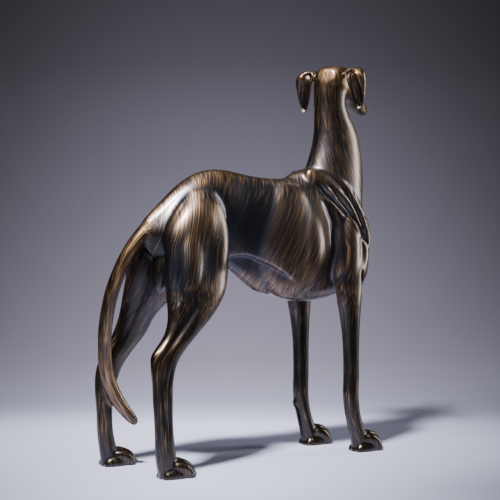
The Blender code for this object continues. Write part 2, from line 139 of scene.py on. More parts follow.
def distance_to_line(
    places: np.ndarray, line: Sequence[Sequence[float]]
) -> tuple[np.ndarray, np.ndarray, np.ndarray]:
    """How far each place is from a line of points, in a plane or in space.

    Args:
        places: One place a row.
        line: The points of the line, in the same number of dimensions.

    Returns:
        The distance, the length along the line, and the offset from the nearest point on it.
    """
    points = np.array(line, float)
    best = np.full(len(places), np.inf)
    along = np.zeros(len(places))
    offset = np.zeros(places.shape)
    passed = 0.0
    for start, end in zip(points, points[1:]):
        step = end - start
        length = float(np.linalg.norm(step))
        share = np.clip((places - start) @ step / length ** 2, 0, 1)
        off = places - start - share[:, None] * step
        gap = np.linalg.norm(off, axis=1)
        closer = gap < best
        best[closer] = gap[closer]
        along[closer] = passed + share[closer] * length
        offset[closer] = off[closer]
        passed += length
    return best, along, offset


def by_height(stations: Iterable[Row]) -> np.ndarray:
    """The rows of a limb's curve, from the lowest to the highest."""
    return np.array(sorted(curve_through(stations), key=lambda row: row[2]))


def placed(name: str, data: bpy.types.ID) -> bpy.types.Object:
    """Puts a new object into the scene.

    Args:
        name: Its name.
        data: Its mesh, light or camera.

    Returns:
        The object.
    """
    thing = bpy.data.objects.new(name, data)
    bpy.context.scene.collection.objects.link(thing)
    return thing


# Clay: the masses that are pressed into one skin

@dataclass(frozen=True)
class Muscle:
    """An egg-shaped mass from start to end, with half its breadth and half its thickness."""

    start: Point
    end: Point
    breadth: float
    thickness: float

    def moved(self, x: float, y: float) -> "Muscle":
        """The same mass, moved along X and Y."""
        ends = ((p[0] + x, p[1] + y, p[2]) for p in (self.start, self.end))
        return Muscle(*ends, self.breadth, self.thickness)


class Clay:
    """Soft masses that are pressed together into one skin."""

    def __init__(self) -> None:
        """Starts with an empty lump."""
        self.lump = bmesh.new()

    @staticmethod
    def swollen(half: float, other: float) -> float:
        """A half-axis with what the blending of the body draws in added to it."""
        return half + min(BODY_BLEND ** 2 / BLEND_DIVISOR * half / other ** 2, MOST_SWELL * half)

    def add_rings(
        self, rings: Sequence[Sequence[Vector]], place: Matrix = Matrix.Identity(4)
    ) -> None:
        """Skins a closed form over rings of points, with a flat end at each side.

        Args:
            rings: The rings, each with the same number of points.
            place: Where the form goes.
        """
        loops = [[self.lump.verts.new(place @ Vector(point)) for point in ring] for ring in rings]
        for near, far in zip(loops, loops[1:]):
            for k in range(len(near)):
                after = (k + 1) % len(near)
                self.lump.faces.new((near[k], near[after], far[after], far[k]))
        self.lump.faces.new(loops[0][::-1])
        self.lump.faces.new(loops[-1])

    @staticmethod
    def oval(centre: Vector, across: Vector, along: Vector, fullness: float = 0.0) -> list[Vector]:
        """Points round an oval.

        Args:
            centre: Its middle.
            across: One half-axis.
            along: The other half-axis.
            fullness: How far its corners are filled out.

        Returns:
            The points, in order.
        """
        ring = []
        for k in range(RING_POINTS):
            turn = 2 * math.pi * k / RING_POINTS
            out = 1 + fullness * math.sin(2 * turn) ** 2
            ring.append(centre + (across * math.cos(turn) + along * math.sin(turn)) * out)
        return ring

    def add_level_loft(self, stations: Iterable[Row]) -> None:
        """Adds a limb of level oval sections.

        Args:
            stations: Rows of x, y, z, half length and half width.
        """
        rings = [
            self.oval(
                Vector((x, y, z)), Vector((self.swollen(long, wide), 0, 0)),
                Vector((0, self.swollen(wide, long), 0)),
            )
            for x, y, z, long, wide in curve_through(stations)
        ]
        self.add_rings(rings)

    def add_tube(
        self, stations: Iterable[Row], place: Matrix = Matrix.Identity(4), fullness: float = 0.0
    ) -> None:
        """Adds a strand of oval sections that stand square to its path.

        Args:
            stations: Rows of x, y, z, depth and width along Y.
            place: Where the strand goes.
            fullness: How far the corners of its sections are filled out.
        """
        side = Vector((0, 1, 0))
        rows = curve_through(stations)
        points = [Vector(row[:3]) for row in rows]
        rings = []
        for k, row in enumerate(rows):
            heading = (points[min(k + 1, len(points) - 1)] - points[max(k - 1, 0)]).normalized()
            across = (side - heading * heading.dot(side)).normalized()
            depth, width = self.swollen(row[3], row[4]), self.swollen(row[4], row[3])
            over = heading.cross(across) * depth
            rings.append(self.oval(points[k], across * width, over, fullness))
        self.add_rings(rings, place)

    def add_muscle(
        self, muscle: Muscle, place: Matrix = Matrix.Identity(4), side: Point = (0, 1, 0)
    ) -> None:
        """Adds an egg-shaped mass.

        Args:
            muscle: Its ends and its size.
            place: Where it goes.
            side: The direction of its thickness.
        """
        start, end, out = Vector(muscle.start), Vector(muscle.end), Vector(side)
        axis = (end - start) / 2
        across = (out - axis * (axis.dot(out) / axis.length_squared)).normalized()
        over = axis.cross(across).normalized()
        axes = (axis, over * muscle.breadth, across * muscle.thickness)
        turn = Matrix(axes).transposed().to_4x4()
        shape = place @ Matrix.Translation((start + end) / 2) @ turn
        bmesh.ops.create_icosphere(self.lump, subdivisions=BALL_STEPS, radius=1.0, matrix=shape)

    def pressed(self, name: str, grain: float, blend: float) -> bpy.types.Mesh:
        """Presses all masses into one skin, and uses the lump up.

        Args:
            name: The name of the mesh.
            grain: The size of its faces.
            blend: How far forms run into each other.

        Returns:
            The mesh of the skin.
        """
        bmesh.ops.recalc_face_normals(self.lump, faces=self.lump.faces)
        mesh = bpy.data.meshes.new(name)
        self.lump.to_mesh(mesh)
        self.lump.free()
        piece = placed(name, mesh)
        merge = piece.modifiers.new("merge", "REMESH")
        merge.mode = "VOXEL"
        merge.voxel_size = grain
        soften = piece.modifiers.new("soften", "SMOOTH")
        soften.factor = SMOOTHING
        soften.iterations = round((blend / grain) ** 2)
        return settled(piece)


def settled(piece: bpy.types.Object) -> bpy.types.Mesh:
    """Applies a piece's modifiers and removes the piece.

    Args:
        piece: The piece.

    Returns:
        The mesh that its modifiers give.
    """
    bpy.context.view_layer.update()
    graph = bpy.context.evaluated_depsgraph_get()
    mesh = bpy.data.meshes.new_from_object(piece.evaluated_get(graph))
    bpy.data.objects.remove(piece)
    return mesh


# Trunk, neck and tail

@dataclass(frozen=True)
class Trunk:
    """Barrel, neck and tail of the dog, in shares of its height."""

    # x, top, bottom, half width, height of the widest line
    stations: tuple[Row, ...] = (
        (-0.004, 0.586, 0.525, 0.022, 0.555),
        (0.030, 0.618, 0.490, 0.040, 0.560),
        (0.080, 0.664, 0.480, 0.054, 0.575),
        (0.125, 0.694, 0.480, 0.058, 0.600),
        (0.170, 0.709, 0.482, 0.057, 0.610),
        (0.215, 0.710, 0.472, 0.054, 0.610),
        (0.260, 0.703, 0.440, 0.054, 0.600),
        (0.300, 0.697, 0.412, 0.062, 0.585),
        (0.350, 0.694, 0.397, 0.074, 0.570),
        (0.400, 0.697, 0.386, 0.080, 0.560),
        (0.450, 0.712, 0.382, 0.080, 0.550),
        (0.500, 0.715, 0.386, 0.076, 0.550),
        (0.550, 0.710, 0.398, 0.070, 0.550),
        (0.596, 0.680, 0.418, 0.056, 0.550),
        (0.628, 0.630, 0.446, 0.038, 0.540),
        (0.645, 0.585, 0.490, 0.018, 0.535),
    )
    # x, y, z, half length, half width
    neck: tuple[Row, ...] = (
        (0.548, 0.000, 0.600, 0.086, 0.056),
        (0.549, 0.000, 0.650, 0.088, 0.058),
        (0.550, 0.000, 0.700, 0.088, 0.058),
        (0.556, 0.000, 0.740, 0.080, 0.053),
        (0.560, 0.000, 0.780, 0.071, 0.048),
        (0.559, 0.000, 0.820, 0.063, 0.043),
        (0.549, 0.001, 0.860, 0.051, 0.038),
        (0.543, 0.003, 0.895, 0.044, 0.036),
        (0.545, 0.004, 0.925, 0.044, 0.041),
        (0.547, 0.005, 0.952, 0.043, 0.042),
        (0.552, 0.005, 0.980, 0.028, 0.030),
    )
    # x, y, z, depth, width
    tail: tuple[Row, ...] = (
        (0.072, 0.000, 0.615, 0.030, 0.032),
        (0.034, 0.000, 0.584, 0.0265, 0.0275),
        (-0.002, 0.003, 0.551, 0.0205, 0.0215),
        (-0.029, 0.008, 0.520, 0.0170, 0.0185),
        (-0.052, 0.015, 0.479, 0.0155, 0.0170),
        (-0.069, 0.026, 0.429, 0.0150, 0.0165),
        (-0.077, 0.036, 0.385, 0.0148, 0.0160),
        (-0.079, 0.050, 0.330, 0.0148, 0.0160),
        (-0.075, 0.061, 0.290, 0.0148, 0.0158),
        (-0.070, 0.069, 0.250, 0.0150, 0.0158),
        (-0.058, 0.073, 0.205, 0.0152, 0.0158),
        (-0.038, 0.072, 0.162, 0.0150, 0.0155),
        (-0.016, 0.069, 0.130, 0.0130, 0.0140),
        (0.003, 0.066, 0.108, 0.0100, 0.0110),
        (0.011, 0.065, 0.099, 0.0060, 0.0070),
    )
    ribs: Muscle = Muscle((0.375, 0.024, 0.690), (0.396, 0.024, 0.388), 0.112, 0.064)
    ribs_front: Muscle = Muscle((0.428, 0.028, 0.655), (0.436, 0.030, 0.410), 0.060, 0.058)
    withers: Muscle = Muscle((0.390, 0.000, 0.684), (0.525, 0.000, 0.724), 0.018, 0.032)
    throat: Muscle = Muscle((0.582, 0.000, 0.770), (0.600, 0.000, 0.490), 0.042, 0.050)
    sheath: Muscle = Muscle((0.052, -0.006, 0.530), (0.032, -0.004, 0.412), 0.026, 0.026)

    @staticmethod
    def egg(x: float, top: float, bottom: float, wide: float, middle: float) -> list[Vector]:
        """An egg-shaped upright section through the barrel.

        Args:
            x: Its place along the dog.
            top: Its highest point.
            bottom: Its lowest point.
            wide: Its half width.
            middle: The height at which it is widest.

        Returns:
            Its points, in order.
        """
        ring = []
        for k in range(RING_POINTS):
            turn = 2 * math.pi * k / RING_POINTS
            reach = top - middle if math.sin(turn) > 0 else middle - bottom
            ring.append(Vector((x, wide * math.cos(turn), middle + reach * math.sin(turn))))
        return ring

    def add_to(self, clay: Clay) -> None:
        """Adds the barrel, its muscles, the neck and the tail.

        Args:
            clay: The clay that they go into.
        """
        clay.add_rings([self.egg(*row) for row in curve_through(self.stations)])
        for hand in BOTH_HANDS:
            for ribs in (self.ribs, self.ribs_front):
                ends = (mirrored(ribs.start, hand), mirrored(ribs.end, hand))
                clay.add_muscle(Muscle(*ends, ribs.breadth, ribs.thickness))
        for muscle in (self.withers, self.throat, self.sheath):
            clay.add_muscle(muscle)
        clay.add_level_loft(self.neck)
        clay.add_tube(self.tail)


# Legs

@dataclass(frozen=True)
class HindLeg:
    """One hind leg, from the croup down to the pastern."""

    hand: Hand
    # x, y, z, half length, half width
    stations: tuple[Row, ...]
    heel: Point
    # Start and end as height, place from rear (-1) to front (1) and place outwards, then
    # breadth and thickness.
    muscles: tuple[Muscle, ...] = (
        Muscle((0.645, 0.40, 0.35), (0.440, 0.50, 0.36), 0.042, 0.033),
        Muscle((0.600, -0.42, 0.42), (0.385, -0.35, 0.30), 0.038, 0.031),
        Muscle((0.640, -0.15, 0.55), (0.500, 0.05, 0.50), 0.040, 0.031),
        Muscle((0.440, -0.50, 0.20), (0.330, -0.55, 0.10), 0.022, 0.023),
        Muscle((0.440, 0.45, 0.40), (0.290, 0.45, 0.35), 0.022, 0.021),
    )
    # The bone of the heel, from the heel's own place.
    heel_bone: Muscle = Muscle((0.002, 0, -0.026), (0.012, 0, 0.022), 0.016, 0.015)

    def place(self, height: float, along: float, out: float) -> Vector:
        """A point in the leg.

        Args:
            height: Its height.
            along: Its place from the rear (-1) to the front (1) of the section there.
            out: Its place outwards, as a share of the section's half width.

        Returns:
            The point.
        """
        levels = by_height(self.stations)
        x, y, long, wide = (np.interp(height, levels[:, 2], levels[:, k]) for k in (0, 1, 3, 4))
        return Vector((x + along * long, (y + out * wide) * self.hand.value, height))

    def add_to(self, clay: Clay) -> None:
        """Adds the leg, its muscles and its heel.

        Args:
            clay: The clay that they go into.
        """
        clay.add_level_loft((x, y * self.hand.value, *rest) for x, y, *rest in self.stations)
        for muscle in self.muscles:
            start, end = self.place(*muscle.start), self.place(*muscle.end)
            clay.add_muscle(Muscle(tuple(start), tuple(end), muscle.breadth, muscle.thickness))
        heel, bone = Vector(mirrored(self.heel, self.hand)), self.heel_bone
        low, high = heel + Vector(bone.start), heel + Vector(bone.end)
        clay.add_muscle(Muscle(tuple(low), tuple(high), bone.breadth, bone.thickness))


HIND_LEGS = {
    Hand.RIGHT: HindLeg(
        hand=Hand.RIGHT,
        heel=(-0.030, 0.100, 0.270),
        stations=(
            (0.138, 0.030, 0.655, 0.040, 0.024),
            (0.124, 0.044, 0.615, 0.064, 0.038),
            (0.108, 0.054, 0.560, 0.080, 0.044),
            (0.106, 0.059, 0.505, 0.083, 0.043),
            (0.101, 0.065, 0.455, 0.081, 0.039),
            (0.092, 0.075, 0.410, 0.075, 0.035),
            (0.072, 0.085, 0.360, 0.056, 0.030),
            (0.043, 0.092, 0.320, 0.0410, 0.026),
            (0.010, 0.098, 0.285, 0.0375, 0.022),
            (-0.006, 0.101, 0.255, 0.0310, 0.0195),
            (-0.010, 0.103, 0.215, 0.0240, 0.0180),
            (-0.010, 0.104, 0.170, 0.0225, 0.0175),
            (-0.008, 0.104, 0.120, 0.0210, 0.0175),
            (-0.005, 0.104, 0.070, 0.0225, 0.0185),
            (-0.001, 0.104, 0.035, 0.0240, 0.0200),
            (0.004, 0.104, 0.000, 0.0220, 0.0190),
        ),
    ),
    Hand.LEFT: HindLeg(
        hand=Hand.LEFT,
        heel=(-0.066, 0.102, 0.238),
        stations=(
            (0.130, 0.030, 0.655, 0.040, 0.024),
            (0.120, 0.042, 0.615, 0.056, 0.036),
            (0.091, 0.054, 0.560, 0.078, 0.044),
            (0.079, 0.059, 0.505, 0.083, 0.043),
            (0.066, 0.065, 0.455, 0.080, 0.039),
            (0.052, 0.076, 0.405, 0.070, 0.035),
            (0.025, 0.088, 0.355, 0.047, 0.030),
            (0.006, 0.096, 0.310, 0.0425, 0.025),
            (-0.021, 0.100, 0.270, 0.0360, 0.0215),
            (-0.040, 0.102, 0.240, 0.0325, 0.0190),
            (-0.051, 0.103, 0.203, 0.0270, 0.0180),
            (-0.055, 0.104, 0.165, 0.0215, 0.0175),
            (-0.055, 0.104, 0.125, 0.0180, 0.0175),
            (-0.053, 0.104, 0.080, 0.0185, 0.0180),
            (-0.046, 0.104, 0.040, 0.0205, 0.0190),
            (-0.040, 0.104, 0.000, 0.0210, 0.0190),
        ),
    ),
}


@dataclass(frozen=True)
class Foreleg:
    """One foreleg with its shoulder. stride is how far it is ahead of the middle of the two."""

    hand: Hand
    stride: float
    wrist: float
    # x, y, z, half length, half width, from the elbow down to the pastern
    stations: tuple[Row, ...] = (
        (0.534, 0.066, 0.520, 0.034, 0.020),
        (0.530, 0.070, 0.470, 0.044, 0.024),
        (0.522, 0.072, 0.425, 0.040, 0.025),
        (0.520, 0.074, 0.385, 0.034, 0.024),
        (0.523, 0.074, 0.335, 0.0265, 0.021),
        (0.525, 0.074, 0.284, 0.0220, 0.0180),
        (0.526, 0.074, 0.233, 0.0205, 0.0172),
        (0.526, 0.074, 0.183, 0.0205, 0.0172),
        (0.525, 0.074, 0.140, 0.0205, 0.0176),
        (0.530, 0.074, 0.100, 0.0198, 0.0176),
        (0.540, 0.074, 0.065, 0.0205, 0.0185),
        (0.550, 0.074, 0.035, 0.0220, 0.0200),
        (0.556, 0.074, 0.000, 0.0210, 0.0190),
    )
    shoulder: tuple[Muscle, ...] = (
        Muscle((0.440, 0.034, 0.716), (0.604, 0.062, 0.560), 0.042, 0.022),
        Muscle((0.505, 0.040, 0.725), (0.612, 0.054, 0.560), 0.022, 0.021),
        Muscle((0.602, 0.050, 0.600), (0.544, 0.072, 0.420), 0.026, 0.026),
        Muscle((0.506, 0.056, 0.604), (0.499, 0.070, 0.420), 0.028, 0.024),
        Muscle((0.552, 0.060, 0.618), (0.511, 0.080, 0.404), 0.034, 0.027),
        Muscle((0.486, 0.073, 0.436), (0.500, 0.075, 0.406), 0.012, 0.014),
        Muscle((0.594, 0.018, 0.650), (0.597, 0.032, 0.432), 0.031, 0.024),
        Muscle((0.570, 0.016, 0.850), (0.600, 0.036, 0.600), 0.018, 0.019),
    )
    # Where the bone of the wrist is, and its ends from there.
    wrist_place: Pair = (0.510, 0.075)
    wrist_bone: Muscle = Muscle((0, 0, -0.012), (0, 0, 0.010), 0.010, 0.010)
    # The height at which the shoulder blade lies still, and how far below it the leg swings free.
    blade_height: float = 0.66
    free_below: float = 0.20

    def ahead(self, height: float) -> float:
        """How far the limb is ahead here: nothing at the shoulder blade, all at the elbow."""
        return self.stride * max(0.0, min(1.0, (self.blade_height - height) / self.free_below))

    def add_to(self, clay: Clay) -> None:
        """Adds the leg, its shoulder and the bone of its wrist.

        Args:
            clay: The clay that they go into.
        """
        sign = self.hand.value
        clay.add_level_loft((x + self.stride, y * sign, *rest) for x, y, *rest in self.stations)
        for muscle in self.shoulder:
            start, end = (
                Vector(mirrored(point, self.hand)) + Vector((self.ahead(point[2]), 0, 0))
                for point in (muscle.start, muscle.end)
            )
            clay.add_muscle(Muscle(tuple(start), tuple(end), muscle.breadth, muscle.thickness))
        (x, y), bone = self.wrist_place, self.wrist_bone
        wrist = Vector((x + self.stride, y * sign, self.wrist))
        low, high = wrist + Vector(bone.start), wrist + Vector(bone.end)
        clay.add_muscle(Muscle(tuple(low), tuple(high), bone.breadth, bone.thickness))


FORELEGS = {
    Hand.RIGHT: Foreleg(hand=Hand.RIGHT, stride=0.026, wrist=0.152),
    Hand.LEFT: Foreleg(hand=Hand.LEFT, stride=-0.025, wrist=0.112),
}


@dataclass(frozen=True)
class Paw:
    """A paw with four toes: x and y of its pastern, and how high its knuckles stand."""

    x: float
    y: float
    knuckles: float
    # Sideways place of the knuckle and of the tip, reach of the tip, share of the knuckle height.
    toes: tuple[Row, ...] = (
        (-0.0190, -0.0240, 0.044, 0.80),
        (-0.0068, -0.0085, 0.055, 1.00),
        (0.0068, 0.0085, 0.055, 1.00),
        (0.0190, 0.0240, 0.044, 0.80),
    )
    pad: Muscle = Muscle((-0.026, 0, 0.004), (0.052, 0, 0.002), 0.020, 0.027)
    side_pad: Muscle = Muscle((-0.024, 0, 0.004), (0.050, 0, 0.004), 0.020, 0.0125)
    side_pad_out: float = 0.017
    outer_toe: float = 0.02
    # Root and tip of a nail: how far ahead of the toe's tip, share of its sideways place, height.
    nail: tuple[Point, Point] = ((0.003, 1.02, 0.009), (0.013, 1.04, 0.003))
    nail_breadth: float = 0.0042
    nail_thickness: float = 0.0036

    def add_to(self, clay: Clay) -> None:
        """Adds the pads and the four toes with their nails.

        Args:
            clay: The clay that they go into.
        """
        x, y = self.x, self.y
        clay.add_muscle(self.pad.moved(x, y))
        for knuckle, tip, reach, share in self.toes:
            height = self.knuckles * share
            # Root, knuckle, last joint and tip of the toe.
            clay.add_tube((
                (x - 0.004, y + knuckle * 0.4, height * 0.9, 0.011, 0.009),
                (x + reach * 0.40, y + knuckle, height, 0.0105, 0.0090),
                (x + reach * 0.78, y + tip * 0.95, height * 0.66, 0.0105, 0.0092),
                (x + reach, y + tip, 0.004, 0.0085, 0.0085),
            ))
            if abs(tip) > self.outer_toe:
                side = y + math.copysign(self.side_pad_out, tip)
                clay.add_muscle(self.side_pad.moved(x, side))
            ends = ((x + reach + ahead, y + tip * out, z) for ahead, out, z in self.nail)
            clay.add_muscle(Muscle(*ends, self.nail_breadth, self.nail_thickness))


PAWS = (
    Paw(0.582, -0.074, 0.040),
    Paw(0.531, 0.074, 0.040),
    Paw(0.006, -0.104, 0.032),
    Paw(-0.038, 0.104, 0.030),
)


# Head

@dataclass(frozen=True)
class Head:
    """The head, turned to the dog's left, with its folded ears."""

    turn: float = math.radians(29)
    nod: float = math.radians(9)
    seat: Point = (0.556, 0.005, 0.953)
    # u forwards, v to its left, w up, half height, half width
    skull: tuple[Row, ...] = (
        (-0.050, 0, 0.002, 0.018, 0.022),
        (-0.036, 0, 0.001, 0.030, 0.037),
        (-0.005, 0, 0.001, 0.040, 0.045),
        (0.030, 0, 0.003, 0.042, 0.043),
        (0.060, 0, 0.000, 0.038, 0.037),
        (0.088, 0, -0.010, 0.029, 0.028),
        (0.120, 0, -0.017, 0.0240, 0.0215),
        (0.158, 0, -0.020, 0.0220, 0.0185),
        (0.188, 0, -0.021, 0.0195, 0.0170),
        (0.203, 0, -0.018, 0.0150, 0.0140),
        (0.211, 0, -0.015, 0.0080, 0.0070),
    )
    skull_fullness: float = 0.10
    # Inner edge u, v, outer edge u, v, w, half thickness, from the fold down to the tip.
    ear: tuple[Row, ...] = (
        (-0.005, 0.044, -0.010, 0.078, 0.030, 0.008),
        (-0.020, 0.042, -0.016, 0.090, 0.022, 0.014),
        (-0.030, 0.044, -0.020, 0.096, 0.008, 0.017),
        (-0.032, 0.050, -0.018, 0.098, -0.008, 0.014),
        (-0.024, 0.054, -0.012, 0.096, -0.026, 0.011),
        (-0.014, 0.060, -0.006, 0.093, -0.046, 0.0095),
        (-0.008, 0.066, -0.004, 0.088, -0.064, 0.0080),
        (-0.006, 0.072, -0.004, 0.083, -0.078, 0.0050),
    )
    cheek: Muscle = Muscle((0.004, 0.026, -0.018), (0.092, 0.016, -0.026), 0.016, 0.014)
    brow: Muscle = Muscle((0.030, 0.020, 0.030), (0.088, 0.020, 0.010), 0.013, 0.013)
    eye: Muscle = Muscle((0.074, 0.030, 0.006), (0.092, 0.025, 0.002), 0.008, 0.007)
    ear_root: Muscle = Muscle((0.010, 0.026, 0.012), (-0.006, 0.066, 0.014), 0.014, 0.013)
    nose: Muscle = Muscle((0.196, 0, -0.011), (0.216, 0, -0.014), 0.011, 0.0125)
    # The hollow of the folded ear: the line down its rear face, its half width and its depth.
    ear_hollow: tuple[Point, ...] = (
        (-0.036, 0.060, 0.006), (-0.034, 0.068, -0.012), (-0.026, 0.073, -0.030),
        (-0.016, 0.075, -0.048), (-0.011, 0.076, -0.066),
    )
    hollow_width: float = 0.0130
    hollow_depth: float = 0.0130
    # The way that the hollow faces on the left ear, and how sharply it ends at the ear's edge.
    hollow_faces: Point = (-0.9, 0.3, -0.2)
    hollow_edge: float = 1.6

    @property
    def place(self) -> Matrix:
        """Where the head sits, how far it is turned and how far it nods."""
        turned = Matrix.Rotation(self.turn, 4, "Z") @ Matrix.Rotation(self.nod, 4, "Y")
        return Matrix.Translation(self.seat) @ turned

    def hollow_ears(self, points: np.ndarray, normals: np.ndarray) -> None:
        """Presses the hollow into the rear face of each ear.

        Args:
            points: The points of the skin, which are moved.
            normals: Their normals.
        """
        for hand in BOTH_HANDS:
            line = [tuple(self.place @ Vector(mirrored(point, hand))) for point in self.ear_hollow]
            gap, _, _ = distance_to_line(points, line)
            turned = self.place.to_3x3()
            rear = np.array(turned @ Vector(mirrored(self.hollow_faces, hand)))
            facing = np.clip(normals @ rear * self.hollow_edge, 0, 1)
            # The fourth power gives the hollow a flat floor.
            depth = self.hollow_depth * facing * np.exp(-(gap / self.hollow_width) ** 4)
            points += np.array(turned @ Vector((1, 0, 0))) * depth[:, None]

    def add_pair(self, clay: Clay, muscle: Muscle, side: Point = (0, 1, 0)) -> None:
        """Adds a mass to both sides of the head.

        Args:
            clay: The clay that it goes into.
            muscle: The mass on the left side.
            side: The direction of its thickness.
        """
        for hand in BOTH_HANDS:
            ends = (mirrored(muscle.start, hand), mirrored(muscle.end, hand))
            clay.add_muscle(Muscle(*ends, muscle.breadth, muscle.thickness), self.place, side)

    def add_skull(self, clay: Clay) -> None:
        """Adds the skull with its cheeks and brows.

        Args:
            clay: The clay that they go into.
        """
        clay.add_tube(self.skull, self.place, self.skull_fullness)
        self.add_pair(clay, self.cheek)
        self.add_pair(clay, self.brow)

    def add_features(self, clay: Clay) -> None:
        """Adds the ears, eyes and nose.

        Args:
            clay: The clay that they go into.
        """
        for hand in BOTH_HANDS:
            rings = []
            for u_in, v_in, u_out, v_out, w, thick in curve_through(self.ear):
                inner = Vector((u_in, v_in * hand.value, w))
                outer = Vector((u_out, v_out * hand.value, w))
                across = (outer - inner) / 2
                facing = Vector((-across.y, across.x, 0)).normalized()
                rings.append(clay.oval((inner + outer) / 2, across, facing * thick))
            clay.add_rings(rings, self.place)
        self.add_pair(clay, self.ear_root, side=(1, 0, 0))
        self.add_pair(clay, self.eye)
        clay.add_muscle(self.nose, self.place)


# Carving: lines pressed into the clay with a thumb or a tool

@dataclass(frozen=True)
class Crease:
    """A line pressed in from the side: its half widths, depth, course and how far out it goes.

    A depth below 0 raises a ridge.
    """

    on_left: float
    on_right: float
    depth: float
    line: SideLine
    limit: float = 0.200


@dataclass(frozen=True)
class Carving:
    """The creases of the body and of the hind legs."""

    # x and z along the line, as seen from the dog's left side; the same on its right side.
    body: tuple[Crease, ...] = (
        Crease(0.0100, 0.0090, 0.0060, (
            (0.446, 0.664), (0.471, 0.640), (0.484, 0.610), (0.494, 0.580), (0.497, 0.539),
            (0.500, 0.501), (0.494, 0.464), (0.497, 0.413),
        )),
        Crease(0.0060, 0.0060, -0.0030, (
            (0.449, 0.652), (0.471, 0.642), (0.493, 0.633), (0.512, 0.618), (0.525, 0.598),
            (0.538, 0.572),
        )),
        Crease(0.0055, 0.0050, 0.0065, (
            (0.452, 0.694), (0.481, 0.661), (0.503, 0.641), (0.525, 0.616), (0.545, 0.598),
            (0.560, 0.580),
        )),
        Crease(0.0060, 0.0060, -0.0030, (
            (0.462, 0.692), (0.484, 0.668), (0.500, 0.653), (0.516, 0.633), (0.532, 0.604),
            (0.554, 0.584), (0.571, 0.560), (0.587, 0.530), (0.597, 0.500),
        )),
        Crease(0.0060, 0.0060, 0.0080, (
            (0.475, 0.692), (0.504, 0.664), (0.524, 0.641), (0.543, 0.621), (0.562, 0.596),
            (0.576, 0.571), (0.589, 0.550), (0.605, 0.524), (0.612, 0.490),
        )),
        Crease(0.0060, 0.0060, -0.0030, (
            (0.510, 0.706), (0.543, 0.681), (0.562, 0.658), (0.582, 0.622), (0.595, 0.592),
            (0.608, 0.556), (0.622, 0.514),
        )),
        Crease(0.0050, 0.0045, 0.0050, (
            (0.520, 0.678), (0.551, 0.650), (0.567, 0.625), (0.584, 0.592), (0.600, 0.560),
        )),
        Crease(0.0050, 0.0050, 0.0070, (
            (0.560, 0.676), (0.590, 0.631), (0.603, 0.608), (0.615, 0.590),
        )),
        Crease(0.0060, 0.0060, 0.0080, (
            (0.574, 0.470), (0.579, 0.442), (0.583, 0.416), (0.590, 0.385),
        )),
        Crease(0.0240, 0.0050, 0.0070, (
            (0.135, 0.660), (0.163, 0.628), (0.180, 0.590), (0.190, 0.550), (0.194, 0.510),
            (0.192, 0.480),
        )),
        Crease(0.0060, 0.0380, 0.0085, (
            (0.180, 0.470), (0.203, 0.485), (0.230, 0.494), (0.258, 0.494), (0.288, 0.482),
            (0.320, 0.465), (0.356, 0.444), (0.390, 0.424),
        ), limit=0.080),
        Crease(0.0220, 0.0220, 0.0050, (
            (-0.020, 0.548), (0.020, 0.590), (0.060, 0.626), (0.110, 0.656),
        )),
    )
    # Height and place from rear (-1) to front (1) along the line on a hind leg.
    hind: tuple[Crease, ...] = (
        Crease(0.0160, 0.0160, 0.0020, (
            (0.600, -0.05), (0.540, 0.10), (0.480, 0.15), (0.420, 0.05),
        )),
        Crease(0.0090, 0.0090, 0.0050, (
            (0.420, -0.10), (0.370, -0.25), (0.330, -0.45), (0.295, -0.45), (0.262, -0.35),
        )),
        Crease(0.0040, 0.0040, 0.0040, (
            (0.270, -0.25), (0.200, -0.30), (0.150, -0.25), (0.090, -0.20),
        )),
        Crease(0.0040, 0.0040, 0.0035, (
            (0.270, 0.25), (0.200, 0.30), (0.140, 0.30), (0.080, 0.20),
        )),
    )
    # How far out from the middle a crease of the body, or of a leg, has its full depth.
    body_reach: float = 0.03
    leg_reach: float = 0.06
    # Where the creases start that go with the shoulder when a foreleg is ahead.
    shoulder_from: float = 0.44
    # How soon a crease ends where the skin turns away from the side, how far past its limit it
    # fades out, and the share of its length over which each end does.
    side_grip: float = 2.5
    limit_fade: float = 0.015
    end_share: float = 0.3

    def press(
        self, points: np.ndarray, normals: np.ndarray, hand: Hand, crease: Crease,
        line: SideLine, reach: float,
    ) -> None:
        """Moves points on one side inwards along a crease, less towards its ends.

        Args:
            points: The points of the skin, which are moved.
            normals: Their normals.
            hand: The side that is pressed.
            crease: Its widths and depth.
            line: Its x and z on this side.
            reach: How far out from the middle it reaches its full depth.
        """
        smooth = [tuple(row) for row in curve_through(line)]
        gap, passed, offset = distance_to_line(points[:, (0, 2)], smooth)
        heading = np.diff(np.array(smooth), axis=0)
        lengths = np.concatenate([[0], np.cumsum(np.linalg.norm(heading, axis=1))])
        part = np.clip(np.searchsorted(lengths, passed, side="right") - 1, 0, len(heading) - 1)
        left = heading[part, 0] * offset[:, 1] - heading[part, 1] * offset[:, 0] > 0
        width = np.where(left, crease.on_left, crease.on_right)
        out = points[:, 1] * hand.value
        facing = np.clip(normals[:, 1] * hand.value * self.side_grip, 0, 1)
        facing *= np.clip(out / reach, 0, 1)
        facing *= np.clip((crease.limit - out) / self.limit_fade + 1, 0, 1)
        along = passed / lengths[-1]
        ends = eased(np.minimum(along, 1 - along), 0.0, self.end_share)
        points -= normals * (crease.depth * ends * facing * np.exp(-(gap / width) ** 2))[:, None]

